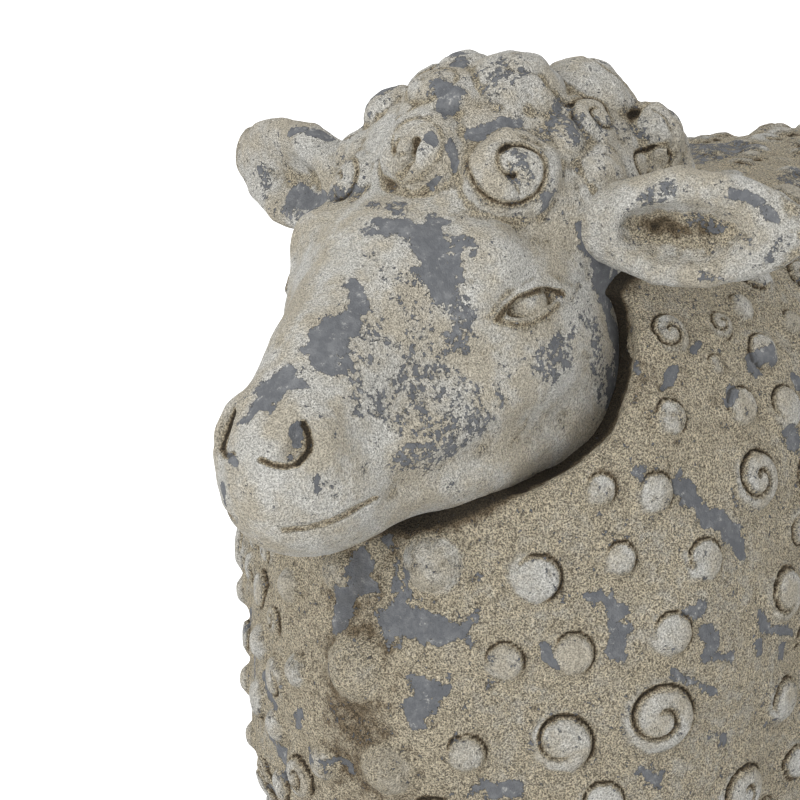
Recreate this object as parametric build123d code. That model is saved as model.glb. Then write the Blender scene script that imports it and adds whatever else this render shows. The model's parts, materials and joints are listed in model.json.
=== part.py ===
from build123d import *
import math
import os

# Sheep figurine cast in a sandy cement mix over steel bars.
# Lengths are millimetres. +Z is up, the sheep faces -Y, and its left side is +X.
# The model is built with the middle of the fleece at X = Y = 0 and the hooves at Z = 0.
# The last step moves every piece so that the origin is the middle of the footprint.

# Driving dimensions of the fleece
body_length = 500.0
body_height = 283.0
leg_length = 112.0
crown_radius = 112.0
side_bulge = 20.0
belly_radius = 48.0
shell_wall = 9.0
seat_clearance = 0.3
cut_overrun = 5.0

# Curls on the fleece
curl_radius = 13.5
curl_rise = 5.0
curl_sink = 3.0
curl_pitch = 38.0
curl_top_share = 0.62
curl_sides = 7
row_start_share = 0.55
row_stagger_share = 0.35
belly_curl_share = 0.75
middle_margin_share = 1.2
leg_margin_share = 1.5

# Head, measured from the ear line, a cross line through the roots of both ears. Heights on
# the head are shares of its depth above the chin, and the chin hangs below the back.
ear_line_setback = 74.0
head_reach = 151.0
head_rear = 22.0
head_depth = 142.0
head_width = 128.0
chin_drop = 116.0
wool_radius = 67.0
wool_height_share = 0.754
wool_setback = 12.0
lock_radius = 17.5
lock_rise = 8.5
lock_sink = 5.0
head_bare_reach = 96.0
neck_rear_setback = 78.0
neck_front_drop = 125.0

# Face
eye_radius = 11.0
eye_rise = 4.0
eye_height_share = 0.655
eye_reach = 47.0
nostril_radius = 5.0
nostril_height_share = 0.331
nostril_reach = 136.0
mouth_height_share = 0.12
mouth_gap = 2.5
mouth_depth = 3.0
mouth_length = 34.0
mouth_rise = 12.0

# Ears
ear_length = 78.0
ear_width = 48.0
ear_thickness = 24.0
ear_sweep = 19.0
ear_height_share = 0.831
ear_root_side = 56.0
ear_root_setback = 3.0
ear_cup_depth = 9.0
ear_cup_share = 0.66
ear_cup_start_share = 0.2
ear_root_share = 0.12

# Legs
leg_side = 68.0
leg_front_setback = 88.0
leg_rear_setback = 84.0
hoof_height = 27.0
hoof_radius = 26.0
hoof_split = 5.0
hoof_split_depth = 9.0
pastern_radius = 20.0
knee_radius = 25.0
thigh_radius = 46.0
knee_level_share = 0.46
calf_level_share = 0.66
knee_width_share = 0.9
calf_length_share = 1.15
thigh_width_share = 0.86
hip_length_share = 1.1
hip_width_share = 0.9
hip_rise_share = 0.75
rear_lean_share = 0.35
hoof_setback_share = 0.18
split_setback_share = 1.18
split_height_share = 0.8

# Tail
tail_length = 112.0
tail_radius = 19.0
tail_drop = 78.0
tail_depth_share = 0.8
tail_pin_drop_share = 0.3
tail_pin_bite_share = 0.5

# Steel bars, wires and mortar inside
rod_radius = 5.0
rod_foot = 18.0
rod_rise = 96.0
tie_radius = 4.0
tie_rise = 58.0
pad_radius = 30.0
pad_height = 42.0
dowel_radius = 6.0
dowel_height_share = 0.387
dowel_inside = 48.0
dowel_outside = 42.0
wire_radius = 2.0
wire_inside = 22.0
wire_outside = 12.0
bandage_half_width = 20.0
bandage_thickness = 3.0
hand_hole_radius = 34.0

# Sizes that follow from the ones above
half_length = body_length / 2
half_width = crown_radius + side_bulge
end_centre = half_length - crown_radius
side_radius = (end_centre**2 + half_width**2 - crown_radius**2) / (2 * side_bulge)
side_centre = side_radius - half_width
side_half_angle = math.atan2(end_centre, side_centre)
back_height = leg_length + body_height
belly_level = leg_length + belly_radius
crown_level = back_height - crown_radius
chest_front = -half_length
ear_line = chest_front + ear_line_setback
chin_height = back_height - chin_drop
wool_height = chin_height + wool_height_share * head_depth
eye_height = chin_height + eye_height_share * head_depth
nostril_height = chin_height + nostril_height_share * head_depth
mouth_height = chin_height + mouth_height_share * head_depth
ear_height = chin_height + ear_height_share * head_depth
dowel_height = chin_height + dowel_height_share * head_depth


def body_wedge(radius, inset, centre, start, stop):
    """Part of the fleece turned about an upright line, between two directions in radians."""
    wall = radius - inset
    crown = crown_radius - inset
    belly = belly_radius - inset
    low = leg_length + inset
    high = back_height - inset
    crown_arc = (crown * math.sin(math.pi / 4), crown * math.cos(math.pi / 4))
    belly_arc = (belly * math.sin(math.pi / 4), belly * math.cos(math.pi / 4))
    back_line = [(wall - crown, high)] if wall > crown else []
    with BuildPart() as wedge:
        with BuildSketch(Plane.XZ):
            with BuildLine():
                Polyline(*back_line, (0, high), (0, low), (wall - belly, low))
                ThreePointArc(
                    (wall - belly, low),
                    (wall - belly + belly_arc[0], belly_level - belly_arc[1]),
                    (wall, belly_level),
                )
                Line((wall, belly_level), (wall, crown_level))
                ThreePointArc(
                    (wall, crown_level),
                    (wall - crown + crown_arc[0], crown_level + crown_arc[1]),
                    (wall - crown, high),
                )
            make_face()
        revolve(axis=Axis.Z, revolution_arc=math.degrees(stop - start))
    return Pos(*centre) * Rot(0, 0, math.degrees(start)) * wedge.part


def left_space():
    """Box that holds everything on the left of the middle plane."""
    reach = 2 * side_radius
    return Pos(reach / 2, 0, leg_length) * Box(reach, reach, reach)


def body_shape(inset):
    """Smooth fleece without curls. A negative inset gives a shape a little larger."""
    turn = side_half_angle
    half_turn = math.pi
    left = body_wedge(side_radius, inset, (-side_centre, 0), -turn, turn)
    right = body_wedge(
        side_radius, inset, (side_centre, 0), half_turn - turn, half_turn + turn
    )
    chest = body_wedge(crown_radius, inset, (0, -end_centre), turn - half_turn, -turn)
    rump = body_wedge(crown_radius, inset, (0, end_centre), turn, half_turn - turn)
    flanks = (left & left_space()).fuse(right - left_space())
    return flanks.fuse(chest).fuse(rump)


def plan_point(inset, distance):
    """Point and outward direction on the left half outline, by distance from the chest."""
    end_r = crown_radius - inset
    side_r = side_radius - inset
    end_arc = end_r * (math.pi / 2 - side_half_angle)
    side_arc = 2 * side_r * side_half_angle
    if distance < end_arc:
        angle = distance / end_r
        direction = (math.sin(angle), -math.cos(angle))
        return (end_r * direction[0], -end_centre + end_r * direction[1]), direction
    if distance < end_arc + side_arc:
        angle = (distance - end_arc) / side_r - side_half_angle
        direction = (math.cos(angle), math.sin(angle))
        return (side_r * direction[0] - side_centre, side_r * direction[1]), direction
    angle = (2 * end_arc + side_arc - distance) / end_r
    direction = (math.sin(angle), math.cos(angle))
    return (end_r * direction[0], end_centre + end_r * direction[1]), direction


def half_outline_length(inset):
    """Length of the outline from chest to rump along one side."""
    end_arc = (crown_radius - inset) * (math.pi / 2 - side_half_angle)
    return 2 * end_arc + 2 * (side_radius - inset) * side_half_angle


def curl_rows():
    """Level, plan inset and tilt of each row of curls, from the belly edge to the ridge."""
    rows = []
    belly_arc = belly_radius * math.pi / 2
    for step in range(1, int(belly_arc * belly_curl_share / curl_pitch) + 1):
        tilt = step * curl_pitch / belly_radius
        level = belly_level - belly_radius * math.sin(tilt)
        rows.append((level, belly_radius * (1 - math.cos(tilt)), -tilt))
    rows.reverse()
    wall_height = crown_level - belly_level
    wall_steps = max(1, round(wall_height / curl_pitch))
    for step in range(wall_steps):
        rows.append((belly_level + step * wall_height / wall_steps, 0, 0))
    crown_arc = crown_radius * math.pi / 2
    crown_steps = max(1, int(crown_arc / curl_pitch))
    for step in range(crown_steps):
        tilt = step * curl_pitch / crown_radius
        level = crown_level + crown_radius * math.sin(tilt)
        rows.append((level, crown_radius * (1 - math.cos(tilt)), tilt))
    return rows


def is_bare(place):
    """True where the head, the tail or a leg covers the fleece."""
    head_gap = math.dist(place, (0, chest_front + head_rear, wool_height - head_rear))
    tail_gap = math.dist((place[0], place[2]), (0, back_height - tail_drop))
    if head_gap < head_bare_reach + curl_radius:
        return True
    if place[1] > end_centre and tail_gap < tail_length / 2 + curl_radius:
        return abs(place[0]) < tail_radius + curl_radius
    for leg_y in (leg_front_y, leg_rear_y):
        leg_gap = math.dist(place, (leg_side, leg_y, leg_length))
        if leg_gap < thigh_radius + curl_radius * leg_margin_share:
            return True
    return False


def curl():
    """One curl as a low stud whose foot is sunk below the fleece."""
    top_radius = curl_radius * curl_top_share
    slope = math.degrees(math.atan2(curl_radius - top_radius, curl_rise))
    with BuildPart() as stud:
        with BuildSketch():
            RegularPolygon(curl_radius, curl_sides)
        extrude(amount=curl_rise, taper=slope)
        with BuildSketch():
            RegularPolygon(curl_radius, curl_sides)
        extrude(amount=-curl_sink)
    return stud.part


def dome(radius, rise, sink):
    """Round dome on a short foot, its rim at Z = 0."""
    ball_radius = (radius**2 + rise**2) / (2 * rise)
    half_turn = math.asin(radius / ball_radius) / 2
    middle = (ball_radius * math.sin(half_turn), rise - ball_radius * (1 - math.cos(half_turn)))
    with BuildPart() as form:
        with BuildSketch(Plane.XZ):
            with BuildLine():
                Polyline((radius, 0), (radius, -sink), (0, -sink), (0, rise))
                ThreePointArc((0, rise), middle, (radius, 0))
            make_face()
        revolve(axis=Axis.Z)
    return form.part


def left_curls():
    """Curls in staggered rows on the left half of the fleece."""
    stud = curl()
    curls = []
    for row, (level, inset, tilt) in enumerate(curl_rows()):
        run = half_outline_length(inset)
        count = int((run - curl_pitch) / curl_pitch)
        first = curl_pitch * (row_start_share + row_stagger_share * (row % 2))
        step = (run - first - curl_pitch * row_start_share) / max(1, count - 1)
        for number in range(count):
            distance = first + number * step
            point, direction = plan_point(inset, distance)
            if point[0] < curl_radius * middle_margin_share:
                continue
            place = (point[0], point[1], level)
            if is_bare(place):
                continue
            outward = (
                direction[0] * math.cos(tilt),
                direction[1] * math.cos(tilt),
                math.sin(tilt),
            )
            curls.append(Plane(origin=place, z_dir=outward).location * stud)
    return curls


def rod_hole(x, y):
    """Cylinder that clears one leg bar over its whole length."""
    radius = rod_radius + seat_clearance
    height = rod_rise + leg_length - rod_foot + 2 * seat_clearance
    return Pos(x, y, rod_foot - seat_clearance) * Cylinder(
        radius, height, align=(Align.CENTER, Align.CENTER, Align.MIN)
    )


def cross_bar(radius, length, x, y, z):
    """Round bar along Y that starts at y and runs towards +Y."""
    return Pos(x, y, z) * Rot(-90, 0, 0) * Cylinder(
        radius, length, align=(Align.CENTER, Align.CENTER, Align.MIN)
    )


leg_front_y = -half_length + leg_front_setback
leg_rear_y = half_length - leg_rear_setback
leg_places = {
    "front_left": (leg_side, leg_front_y),
    "front_right": (-leg_side, leg_front_y),
    "rear_left": (leg_side, leg_rear_y),
    "rear_right": (-leg_side, leg_rear_y),
}

fleece_seat = body_shape(-seat_clearance)

hand_hole = Pos(0, 0, leg_length - cut_overrun) * Cylinder(
    hand_hole_radius,
    shell_wall + 2 * cut_overrun + bandage_thickness,
    align=(Align.CENTER, Align.CENTER, Align.MIN),
)

# Neck dowel, a level bar through the chest wall into the head
dowel_depth = dowel_height - crown_level
dowel_seat = chest_front + crown_radius - math.sqrt(crown_radius**2 - dowel_depth**2)
dowel_start = dowel_seat - dowel_outside
dowel_run = dowel_outside + dowel_inside
dowel_hole = cross_bar(
    dowel_radius + seat_clearance,
    dowel_run + 2 * seat_clearance,
    0,
    dowel_start - seat_clearance,
    dowel_height,
)

# Tail seat and pin, on the middle of the rump
tail_top = back_height - tail_drop + tail_length / 2
tail_pin_height = tail_top - tail_length * tail_pin_drop_share
tail_pin_depth = max(0.0, tail_pin_height - crown_level)
rump_at_pin = half_length - crown_radius + math.sqrt(crown_radius**2 - tail_pin_depth**2)
tail_pin_start = rump_at_pin - wire_inside
tail_pin_run = wire_inside + tail_radius * tail_pin_bite_share
tail_pin_hole = cross_bar(
    wire_radius + seat_clearance,
    tail_pin_run + 2 * seat_clearance,
    0,
    tail_pin_start - seat_clearance,
    tail_pin_height,
)


def hollow(depth):
    """Space inside the fleece and behind the neck seat, at one depth below the surface."""
    return body_shape(depth) - head_core(depth)


def make_shells():
    """Left and right half castings of the fleece, hollow, with curls."""
    left = (body_shape(0) & left_space()).fuse(*left_curls())
    left = left - head_core(seat_clearance) - hollow(shell_wall)
    left = left - hand_hole - dowel_hole - tail_pin_hole
    for x, y in leg_places.values():
        if x > 0:
            left = left - rod_hole(x, y)
    return left, mirror(left, about=Plane.YZ)


def make_bandage():
    """Strip of fibre mortar that lines the joint between the two halves."""
    reach = body_length + body_height
    slab = Pos(0, 0, leg_length + body_height / 2) * Box(2 * bandage_half_width, reach, reach)
    outside = shell_wall + seat_clearance
    strip = (hollow(outside) & slab) - hollow(outside + bandage_thickness)
    return strip - hand_hole - dowel_hole - tail_pin_hole


def make_belly_plug():
    """Mortar plug that closes the hand hole."""
    return Pos(0, 0, leg_length) * Cylinder(
        hand_hole_radius - seat_clearance,
        shell_wall,
        align=(Align.CENTER, Align.CENTER, Align.MIN),
    )


# Sections of the face from the back of the jaw to the nose: how far along the head, height of
# the top line and of the chin line above the chin, and width
face_section_shares = (
    (0.00, 0.86, 0.19, 0.84),
    (0.22, 0.90, 0.17, 0.98),
    (0.42, 0.86, 0.11, 0.92),
    (0.60, 0.71, 0.05, 0.72),
    (0.78, 0.56, 0.01, 0.60),
    (0.92, 0.45, 0.02, 0.52),
    (1.00, 0.33, 0.12, 0.28),
)
# Half outline of one face section: share of the half width, and of the height
face_outline_shares = ((0.0, 1.0), (0.62, 0.90), (1.0, 0.58), (0.80, 0.20), (0.0, 0.0))


def make_face_form(inset):
    """Solid of the face, lofted from the back of the jaw to the nose, smaller by inset."""
    sections = []
    run = head_rear + head_reach - inset
    for along, top, bottom, width in face_section_shares:
        y = ear_line + head_rear - along * run
        low = chin_height + bottom * head_depth + inset
        high = chin_height + top * head_depth - inset
        half = width * head_width / 2 - inset
        right_side = [
            (x * half, y, low + z * (high - low)) for x, z in face_outline_shares
        ]
        left_side = [(-x, py, z) for x, py, z in reversed(right_side[1:-1])]
        with BuildSketch(Plane((0, y, 0), x_dir=(1, 0, 0), z_dir=(0, -1, 0))) as section:
            with BuildLine():
                Spline(*[(x, z) for x, py, z in right_side + left_side], periodic=True)
            make_face()
        sections.append(section.sketch)
    return loft(sections)


# Places of the locks on the wool cap: turn from the brow as a share of a half turn, and
# elevation as a share of a right angle
lock_place_shares = (
    (0.00, 0.27),
    (0.21, 0.27),
    (0.41, 0.40),
    (0.68, 0.42),
    (0.89, 0.38),
    (0.22, 0.67),
    (1.00, 0.73),
)


def wool_ball(clearance):
    """Round of the wool cap. Its poles lie under the brow lock and below the neck seat."""
    brow = lock_place_shares[0][1] * math.pi / 2
    frame = Plane(
        origin=(0, ear_line + wool_setback, wool_height),
        x_dir=(0, math.sin(brow), math.cos(brow)),
        z_dir=(0, -math.cos(brow), math.sin(brow)),
    )
    return frame.location * Sphere(wool_radius + clearance)


def neck_space(shift):
    """Everything above the sloping flat seat of the neck, which moves out by shift."""
    run = neck_rear_setback + ear_line - chest_front
    slope = math.atan2(neck_front_drop, run)
    normal = Vector(0, -math.sin(slope), math.cos(slope))
    edge = Vector(0, ear_line + neck_rear_setback, back_height)
    reach = body_length + body_height
    frame = Plane(origin=edge + normal * shift, x_dir=(1, 0, 0), z_dir=normal)
    return frame.location * Box(reach, reach, reach, align=(Align.CENTER, Align.CENTER, Align.MIN))


def head_core(clearance):
    """Part of the head that beds in the fleece, larger all round by clearance."""
    core = make_face_form(-clearance).fuse(wool_ball(clearance))
    return core & neck_space(-clearance)


def wool_locks():
    """Large round locks of wool, spread over the cap on both sides."""
    lock = dome(lock_radius, lock_rise, lock_sink)
    sink_to_foot = wool_radius - math.sqrt(wool_radius**2 - lock_radius**2)
    locks = []
    for turn_share, elevation_share in lock_place_shares:
        turn = turn_share * math.pi
        elevation = elevation_share * math.pi / 2
        sides = (1,) if turn_share in (0.0, 1.0) else (1, -1)
        for side in sides:
            outward = Vector(
                side * math.cos(elevation) * math.sin(turn),
                -math.cos(elevation) * math.cos(turn),
                math.sin(elevation),
            )
            centre = Vector(0, ear_line + wool_setback, wool_height)
            place = centre + outward * (wool_radius - sink_to_foot)
            locks.append(Plane(origin=place, z_dir=outward).location * lock)
    return locks


def face_spot(form, side, reach, height):
    """Point and outward direction where a level cross line leaves the face on one side."""
    line = Axis((0, ear_line - reach, height), (side, 0, 0))
    hits = []
    for face in form.faces():
        hits += face.find_intersection_points(line)
    point, normal = max(hits, key=lambda hit: side * hit[0].X)
    if side * normal.X < 0:
        normal = -normal
    return point, normal


def ear_frame(side):
    """Frame of one ear: local Z runs out along the ear, local Y is up."""
    turn = math.radians(ear_sweep)
    outward = (side * math.cos(turn), math.sin(turn), 0)
    across = (side * math.sin(turn), -math.cos(turn), 0)
    return Plane(
        origin=(side * ear_root_side, ear_line + ear_root_setback, ear_height),
        x_dir=across,
        z_dir=outward,
    )


def ear_pin(side, clearance):
    """Wire pin in the root of one ear, larger all round by the clearance."""
    start = wool_seat_along(side) - wire_inside - clearance
    run = wire_inside + wire_outside + 2 * clearance
    pin = Pos(0, 0, start) * Cylinder(
        wire_radius + clearance, run, align=(Align.CENTER, Align.CENTER, Align.MIN)
    )
    return ear_frame(side).location * pin


def wool_seat_along(side):
    """Distance along the ear axis where it leaves the round of the wool."""
    frame = ear_frame(side)
    start = Vector(frame.origin)
    out = frame.z_dir
    centre = Vector(0, ear_line + wool_setback, wool_height)
    gap = start - centre
    half_b = gap.dot(out)
    return -half_b + math.sqrt(half_b**2 - gap.dot(gap) + wool_radius**2)


def make_mouth():
    """Thin cut that follows the lips round the front of the muzzle."""
    tilt = math.degrees(math.atan2(mouth_rise, mouth_length))
    slab = Pos(0, ear_line - head_reach, mouth_height) * Rot(-tilt, 0, 0) * Box(
        head_width, 2 * mouth_length, mouth_gap
    )
    return slab - make_face_form(mouth_depth)


def make_head():
    """Head casting: face, wool cap with locks, eyes, nostrils and mouth."""
    form = make_face_form(0)
    head = form.fuse(wool_ball(0).fuse(*wool_locks())) - make_mouth()
    eye = dome(eye_radius, eye_rise, eye_rise)
    for side in (1, -1):
        point, normal = face_spot(form, side, eye_reach, eye_height)
        head = head.fuse(Plane(origin=point, z_dir=normal).location * eye)
        point, normal = face_spot(form, side, nostril_reach, nostril_height)
        head = head - Pos(*point) * Sphere(nostril_radius)
    head = (head & neck_space(0)) - dowel_hole
    for side in (1, -1):
        head = head - ear_pin(side, seat_clearance)
    return head


# Outline of the ear, root to tip: along the ear, width and thickness
ear_section_shares = (
    (0.00, 0.62, 0.90),
    (0.25, 0.86, 1.00),
    (0.55, 1.00, 0.96),
    (0.84, 0.78, 0.72),
    (1.00, 0.28, 0.30),
)


def ear_loft(width_scale, thickness_scale, start_share, lift):
    """Leaf form of an ear in its own frame, built from ellipses along local Z."""
    root = ear_root_side * ear_root_share
    sections = []
    for along, width, thickness in ear_section_shares:
        if along < start_share:
            continue
        with BuildSketch(Plane.XY.offset(root + along * ear_length)) as section:
            with Locations((lift, 0)):
                Ellipse(
                    thickness * ear_thickness / 2 * thickness_scale,
                    width * ear_width / 2 * width_scale,
                )
        sections.append(section.sketch)
    return loft(sections)


def make_ear(side):
    """One cupped ear, seated on the wool of the head."""
    leaf = ear_loft(1, 1, 0, 0)
    cup = ear_loft(ear_cup_share, ear_cup_share, ear_cup_start_share, ear_cup_depth)
    ear = ear_frame(side).location * (leaf - cup)
    return ear - wool_ball(seat_clearance) - ear_pin(side, seat_clearance)


def make_leg(x, y, is_rear):
    """Leg casting with a cloven hoof, a knee and a fleecy thigh that seats on the belly."""
    lean = knee_radius * rear_lean_share if is_rear else 0.0
    hip_level = leg_length + belly_radius * hip_rise_share
    knee_width = knee_radius * knee_width_share
    calf_length = knee_radius * calf_length_share
    levels = (
        (hoof_height, pastern_radius, pastern_radius, 0.0),
        (leg_length * knee_level_share, knee_radius, knee_width, lean),
        (leg_length * calf_level_share, calf_length, knee_radius, lean),
        (leg_length, thigh_radius, thigh_radius * thigh_width_share, 0.0),
        (hip_level, thigh_radius * hip_length_share, thigh_radius * hip_width_share, 0.0),
    )
    sections = []
    for level, length, width, back in levels:
        with BuildSketch(Plane.XY.offset(level)) as section:
            with Locations((x, y + back)):
                Ellipse(width, length)
        sections.append(section.sketch)
    leg = loft(sections)
    hoof = Pos(x, y - hoof_radius * hoof_setback_share, 0) * Cone(
        hoof_radius,
        pastern_radius,
        hoof_height + cut_overrun,
        align=(Align.CENTER, Align.CENTER, Align.MIN),
    )
    split = Pos(x, y - hoof_radius * split_setback_share, 0) * Box(
        hoof_split,
        2 * hoof_split_depth,
        hoof_height * split_height_share,
        align=(Align.CENTER, Align.CENTER, Align.MIN),
    )
    return leg.fuse(hoof) - split - fleece_seat - rod_hole(x, y)


# Outline of the tail, top to tip: drop as a share of its length, and radius share
tail_section_shares = ((0.00, 0.45), (0.20, 0.90), (0.55, 1.00), (0.85, 0.72), (1.00, 0.25))


def make_tail():
    """Tail that hangs down the middle of the rump."""
    sections = []
    for drop, width in tail_section_shares:
        with BuildSketch(Plane.XY.offset(tail_top - drop * tail_length)) as section:
            with Locations((0, half_length)):
                Ellipse(width * tail_radius, width * tail_radius * tail_depth_share)
        sections.append(section.sketch)
    return loft(sections) - fleece_seat - tail_pin_hole


def make_leg_rod(x, y):
    """Steel bar from the foot of one leg up into the body."""
    return Pos(x, y, rod_foot) * Cylinder(
        rod_radius,
        rod_rise + leg_length - rod_foot,
        align=(Align.CENTER, Align.CENTER, Align.MIN),
    )


def make_tie(y):
    """Cross bar that lies against the pair of leg bars."""
    reach = 2 * (leg_side + rod_radius + tie_radius)
    offset = rod_radius + tie_radius + seat_clearance
    return Pos(0, y + offset, leg_length + tie_rise) * Rot(0, 90, 0) * Cylinder(
        tie_radius, reach
    )


def make_leg_pad(x, y):
    """Mortar packed round one leg bar on the inside of the belly."""
    block = Pos(x, y, leg_length) * Cylinder(
        pad_radius, pad_height, align=(Align.CENTER, Align.CENTER, Align.MIN)
    )
    return (block & body_shape(shell_wall + seat_clearance)) - rod_hole(x, y)


shell_left, shell_right = make_shells()
pieces = {
    "fleece_shell_left": shell_left,
    "fleece_shell_right": shell_right,
    "seam_bandage": make_bandage(),
    "belly_plug": make_belly_plug(),
    "head_casting": make_head(),
    "neck_dowel": cross_bar(dowel_radius, dowel_run, 0, dowel_start, dowel_height),
    "ear_left": make_ear(1),
    "ear_right": make_ear(-1),
    "ear_pin_left": ear_pin(1, 0),
    "ear_pin_right": ear_pin(-1, 0),
    "tail": make_tail(),
    "tail_pin": cross_bar(wire_radius, tail_pin_run, 0, tail_pin_start, tail_pin_height),
    "front_tie": make_tie(leg_front_y),
    "rear_tie": make_tie(leg_rear_y),
}
for name, (x, y) in leg_places.items():
    pieces["leg_" + name] = make_leg(x, y, name.startswith("rear"))
    pieces["leg_rod_" + name] = make_leg_rod(x, y)
    pieces["leg_pad_" + name] = make_leg_pad(x, y)

# Put the origin at the middle of the footprint, on the ground
boxes = [piece.bounding_box() for piece in pieces.values()]
shift_x = -(min(box.min.X for box in boxes) + max(box.max.X for box in boxes)) / 2
shift_y = -(min(box.min.Y for box in boxes) + max(box.max.Y for box in boxes)) / 2
shift_z = -min(box.min.Z for box in boxes)

os.makedirs("parts", exist_ok=True)
for name, piece in pieces.items():
    export_step(Pos(shift_x, shift_y, shift_z) * piece, f"parts/{name}.step")
print("shift", shift_x, shift_y, shift_z)
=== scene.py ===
import json
import math

import bpy
import numpy as np
from mathutils import Matrix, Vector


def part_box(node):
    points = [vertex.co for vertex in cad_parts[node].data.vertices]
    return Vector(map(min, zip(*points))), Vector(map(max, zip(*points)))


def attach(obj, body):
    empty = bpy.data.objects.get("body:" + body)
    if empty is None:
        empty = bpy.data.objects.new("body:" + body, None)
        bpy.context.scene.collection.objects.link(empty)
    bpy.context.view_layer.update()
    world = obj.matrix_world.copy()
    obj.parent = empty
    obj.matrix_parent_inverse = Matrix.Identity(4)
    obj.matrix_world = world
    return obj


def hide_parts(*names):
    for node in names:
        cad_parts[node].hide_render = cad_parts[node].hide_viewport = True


# Garden sheep cast in sandy cement, seen from its left front.
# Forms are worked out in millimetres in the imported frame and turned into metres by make_piece.
MM = 0.001

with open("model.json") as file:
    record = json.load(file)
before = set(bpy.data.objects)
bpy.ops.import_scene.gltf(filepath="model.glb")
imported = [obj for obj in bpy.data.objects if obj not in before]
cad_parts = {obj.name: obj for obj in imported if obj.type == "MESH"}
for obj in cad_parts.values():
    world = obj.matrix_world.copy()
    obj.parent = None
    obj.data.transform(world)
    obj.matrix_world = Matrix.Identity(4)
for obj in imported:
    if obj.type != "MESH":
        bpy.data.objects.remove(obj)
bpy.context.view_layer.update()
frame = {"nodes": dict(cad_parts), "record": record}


def box_mm(node):
    """Lowest and highest corner of a CAD node, in millimetres."""
    low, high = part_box(node)
    return np.array(low) / MM, np.array(high) / MM


# Sizes of the castings, and the places that follow from them and from the frame
head_reach = 151.0
wool_setback = 12.0
crown_radius = 112.0
belly_radius = 48.0
side_bulge = 20.0
back_drop = 4.0
head_low, head_high = box_mm("head_casting")
shell_low, shell_high = box_mm("fleece_shell_left")
plug_low, plug_high = box_mm("belly_plug")
ear_line = head_low[1] + head_reach
belly_height = plug_low[2]
back_height = shell_high[2]
body_middle = (plug_low[1] + plug_high[1]) / 2
half_length = 250.0
half_width = crown_radius + side_bulge
end_centre = half_length - crown_radius
side_radius = (end_centre**2 + half_width**2 - crown_radius**2) / (2 * side_bulge)
side_centre = side_radius - half_width
side_half_angle = math.atan2(end_centre, side_centre)
crown_level = back_height - back_drop - crown_radius
belly_level = belly_height + belly_radius

# The camera, as measured from the photograph
photo_width = 800
focal_pixels = 2550.0
view_azimuth = math.radians(36.0)
view_elevation = math.radians(11.5)
view_distance = 1000.0
head_centre = np.array([0.0, ear_line - 40.0, 360.0])
head_pixel = (414.0, 304.0)
view_back = np.array(
    [
        math.sin(view_azimuth) * math.cos(view_elevation),
        -math.cos(view_azimuth) * math.cos(view_elevation),
        math.sin(view_elevation),
    ]
)
camera_place = head_centre + view_distance * view_back


def unit(vector):
    """Vector, or rows of vectors, at length one."""
    vector = np.asarray(vector, float)
    return vector / np.linalg.norm(vector, axis=-1, keepdims=True)


def view_axes(back):
    """Right and up directions of a level camera whose back points this way."""
    right = unit(np.cross((0.0, 0.0, 1.0), back))
    return right, np.cross(back, right)


first_right, first_up = view_axes(view_back)
camera_aim = head_centre + view_distance / focal_pixels * (
    first_right * (photo_width / 2 - head_pixel[0])
    + first_up * (head_pixel[1] - photo_width / 2)
)
camera_back = unit(camera_place - camera_aim)
camera_right, camera_up = view_axes(camera_back)


def pixel_ray(px, py):
    """Direction from the camera through one pixel of the photograph."""
    across = (px - photo_width / 2) / focal_pixels
    rise = (photo_width / 2 - py) / focal_pixels
    return unit(camera_right * across + camera_up * rise - camera_back)


def head_place(x, ahead, z):
    """Point given by its distance ahead of the ear line."""
    return np.array([x, ear_line - ahead, z], float)


CORNERS = [(i, j, k) for i in (0, 1) for j in (0, 1) for k in (0, 1)]
EDGES = [(a, b) for a in CORNERS for b in CORNERS if a < b and sum(abs(np.subtract(a, b))) == 1]


class Form:
    """A signed distance with the ball that holds it."""

    def __init__(self, distance, centre, reach):
        self.distance = distance
        self.centre = np.asarray(centre, float)
        self.reach = float(reach)


def ellipsoid(centre, radii, axes=None):
    """Ellipsoid whose radii run along the given axes."""
    centre = np.asarray(centre, float)
    axes = np.eye(3) if axes is None else np.asarray(axes, float)

    def distance(x, y, z):
        gaps = (x - centre[0], y - centre[1], z - centre[2])
        near = 0
        slope = 1e-9
        for axis, radius in zip(axes, radii):
            local = axis[0] * gaps[0] + axis[1] * gaps[1] + axis[2] * gaps[2]
            near = near + (local / radius) ** 2
            slope = slope + (local / radius**2) ** 2
        near = np.sqrt(near)
        return near * (near - 1) / np.sqrt(slope)

    return Form(distance, centre, max(radii))


def tube(points, radii):
    """Chain of round rods that taper from one radius to the next."""
    points = np.asarray(points, float)
    radii = np.broadcast_to(np.asarray(radii, float), len(points))

    def distance(x, y, z):
        best = None
        for a, b, ra, rb in zip(points[:-1], points[1:], radii[:-1], radii[1:]):
            run = b - a
            gaps = (x - a[0], y - a[1], z - a[2])
            along = (gaps[0] * run[0] + gaps[1] * run[1] + gaps[2] * run[2]) / (run @ run)
            along = np.clip(along, 0, 1)
            side = [gap - along * part for gap, part in zip(gaps, run)]
            away = np.sqrt(side[0] ** 2 + side[1] ** 2 + side[2] ** 2) - ra - along * (rb - ra)
            best = away if best is None else np.minimum(best, away)
        return best

    centre = (points.min(0) + points.max(0)) / 2
    reach = np.linalg.norm(points - centre, axis=1).max() + radii.max()
    return Form(distance, centre, reach)


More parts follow.
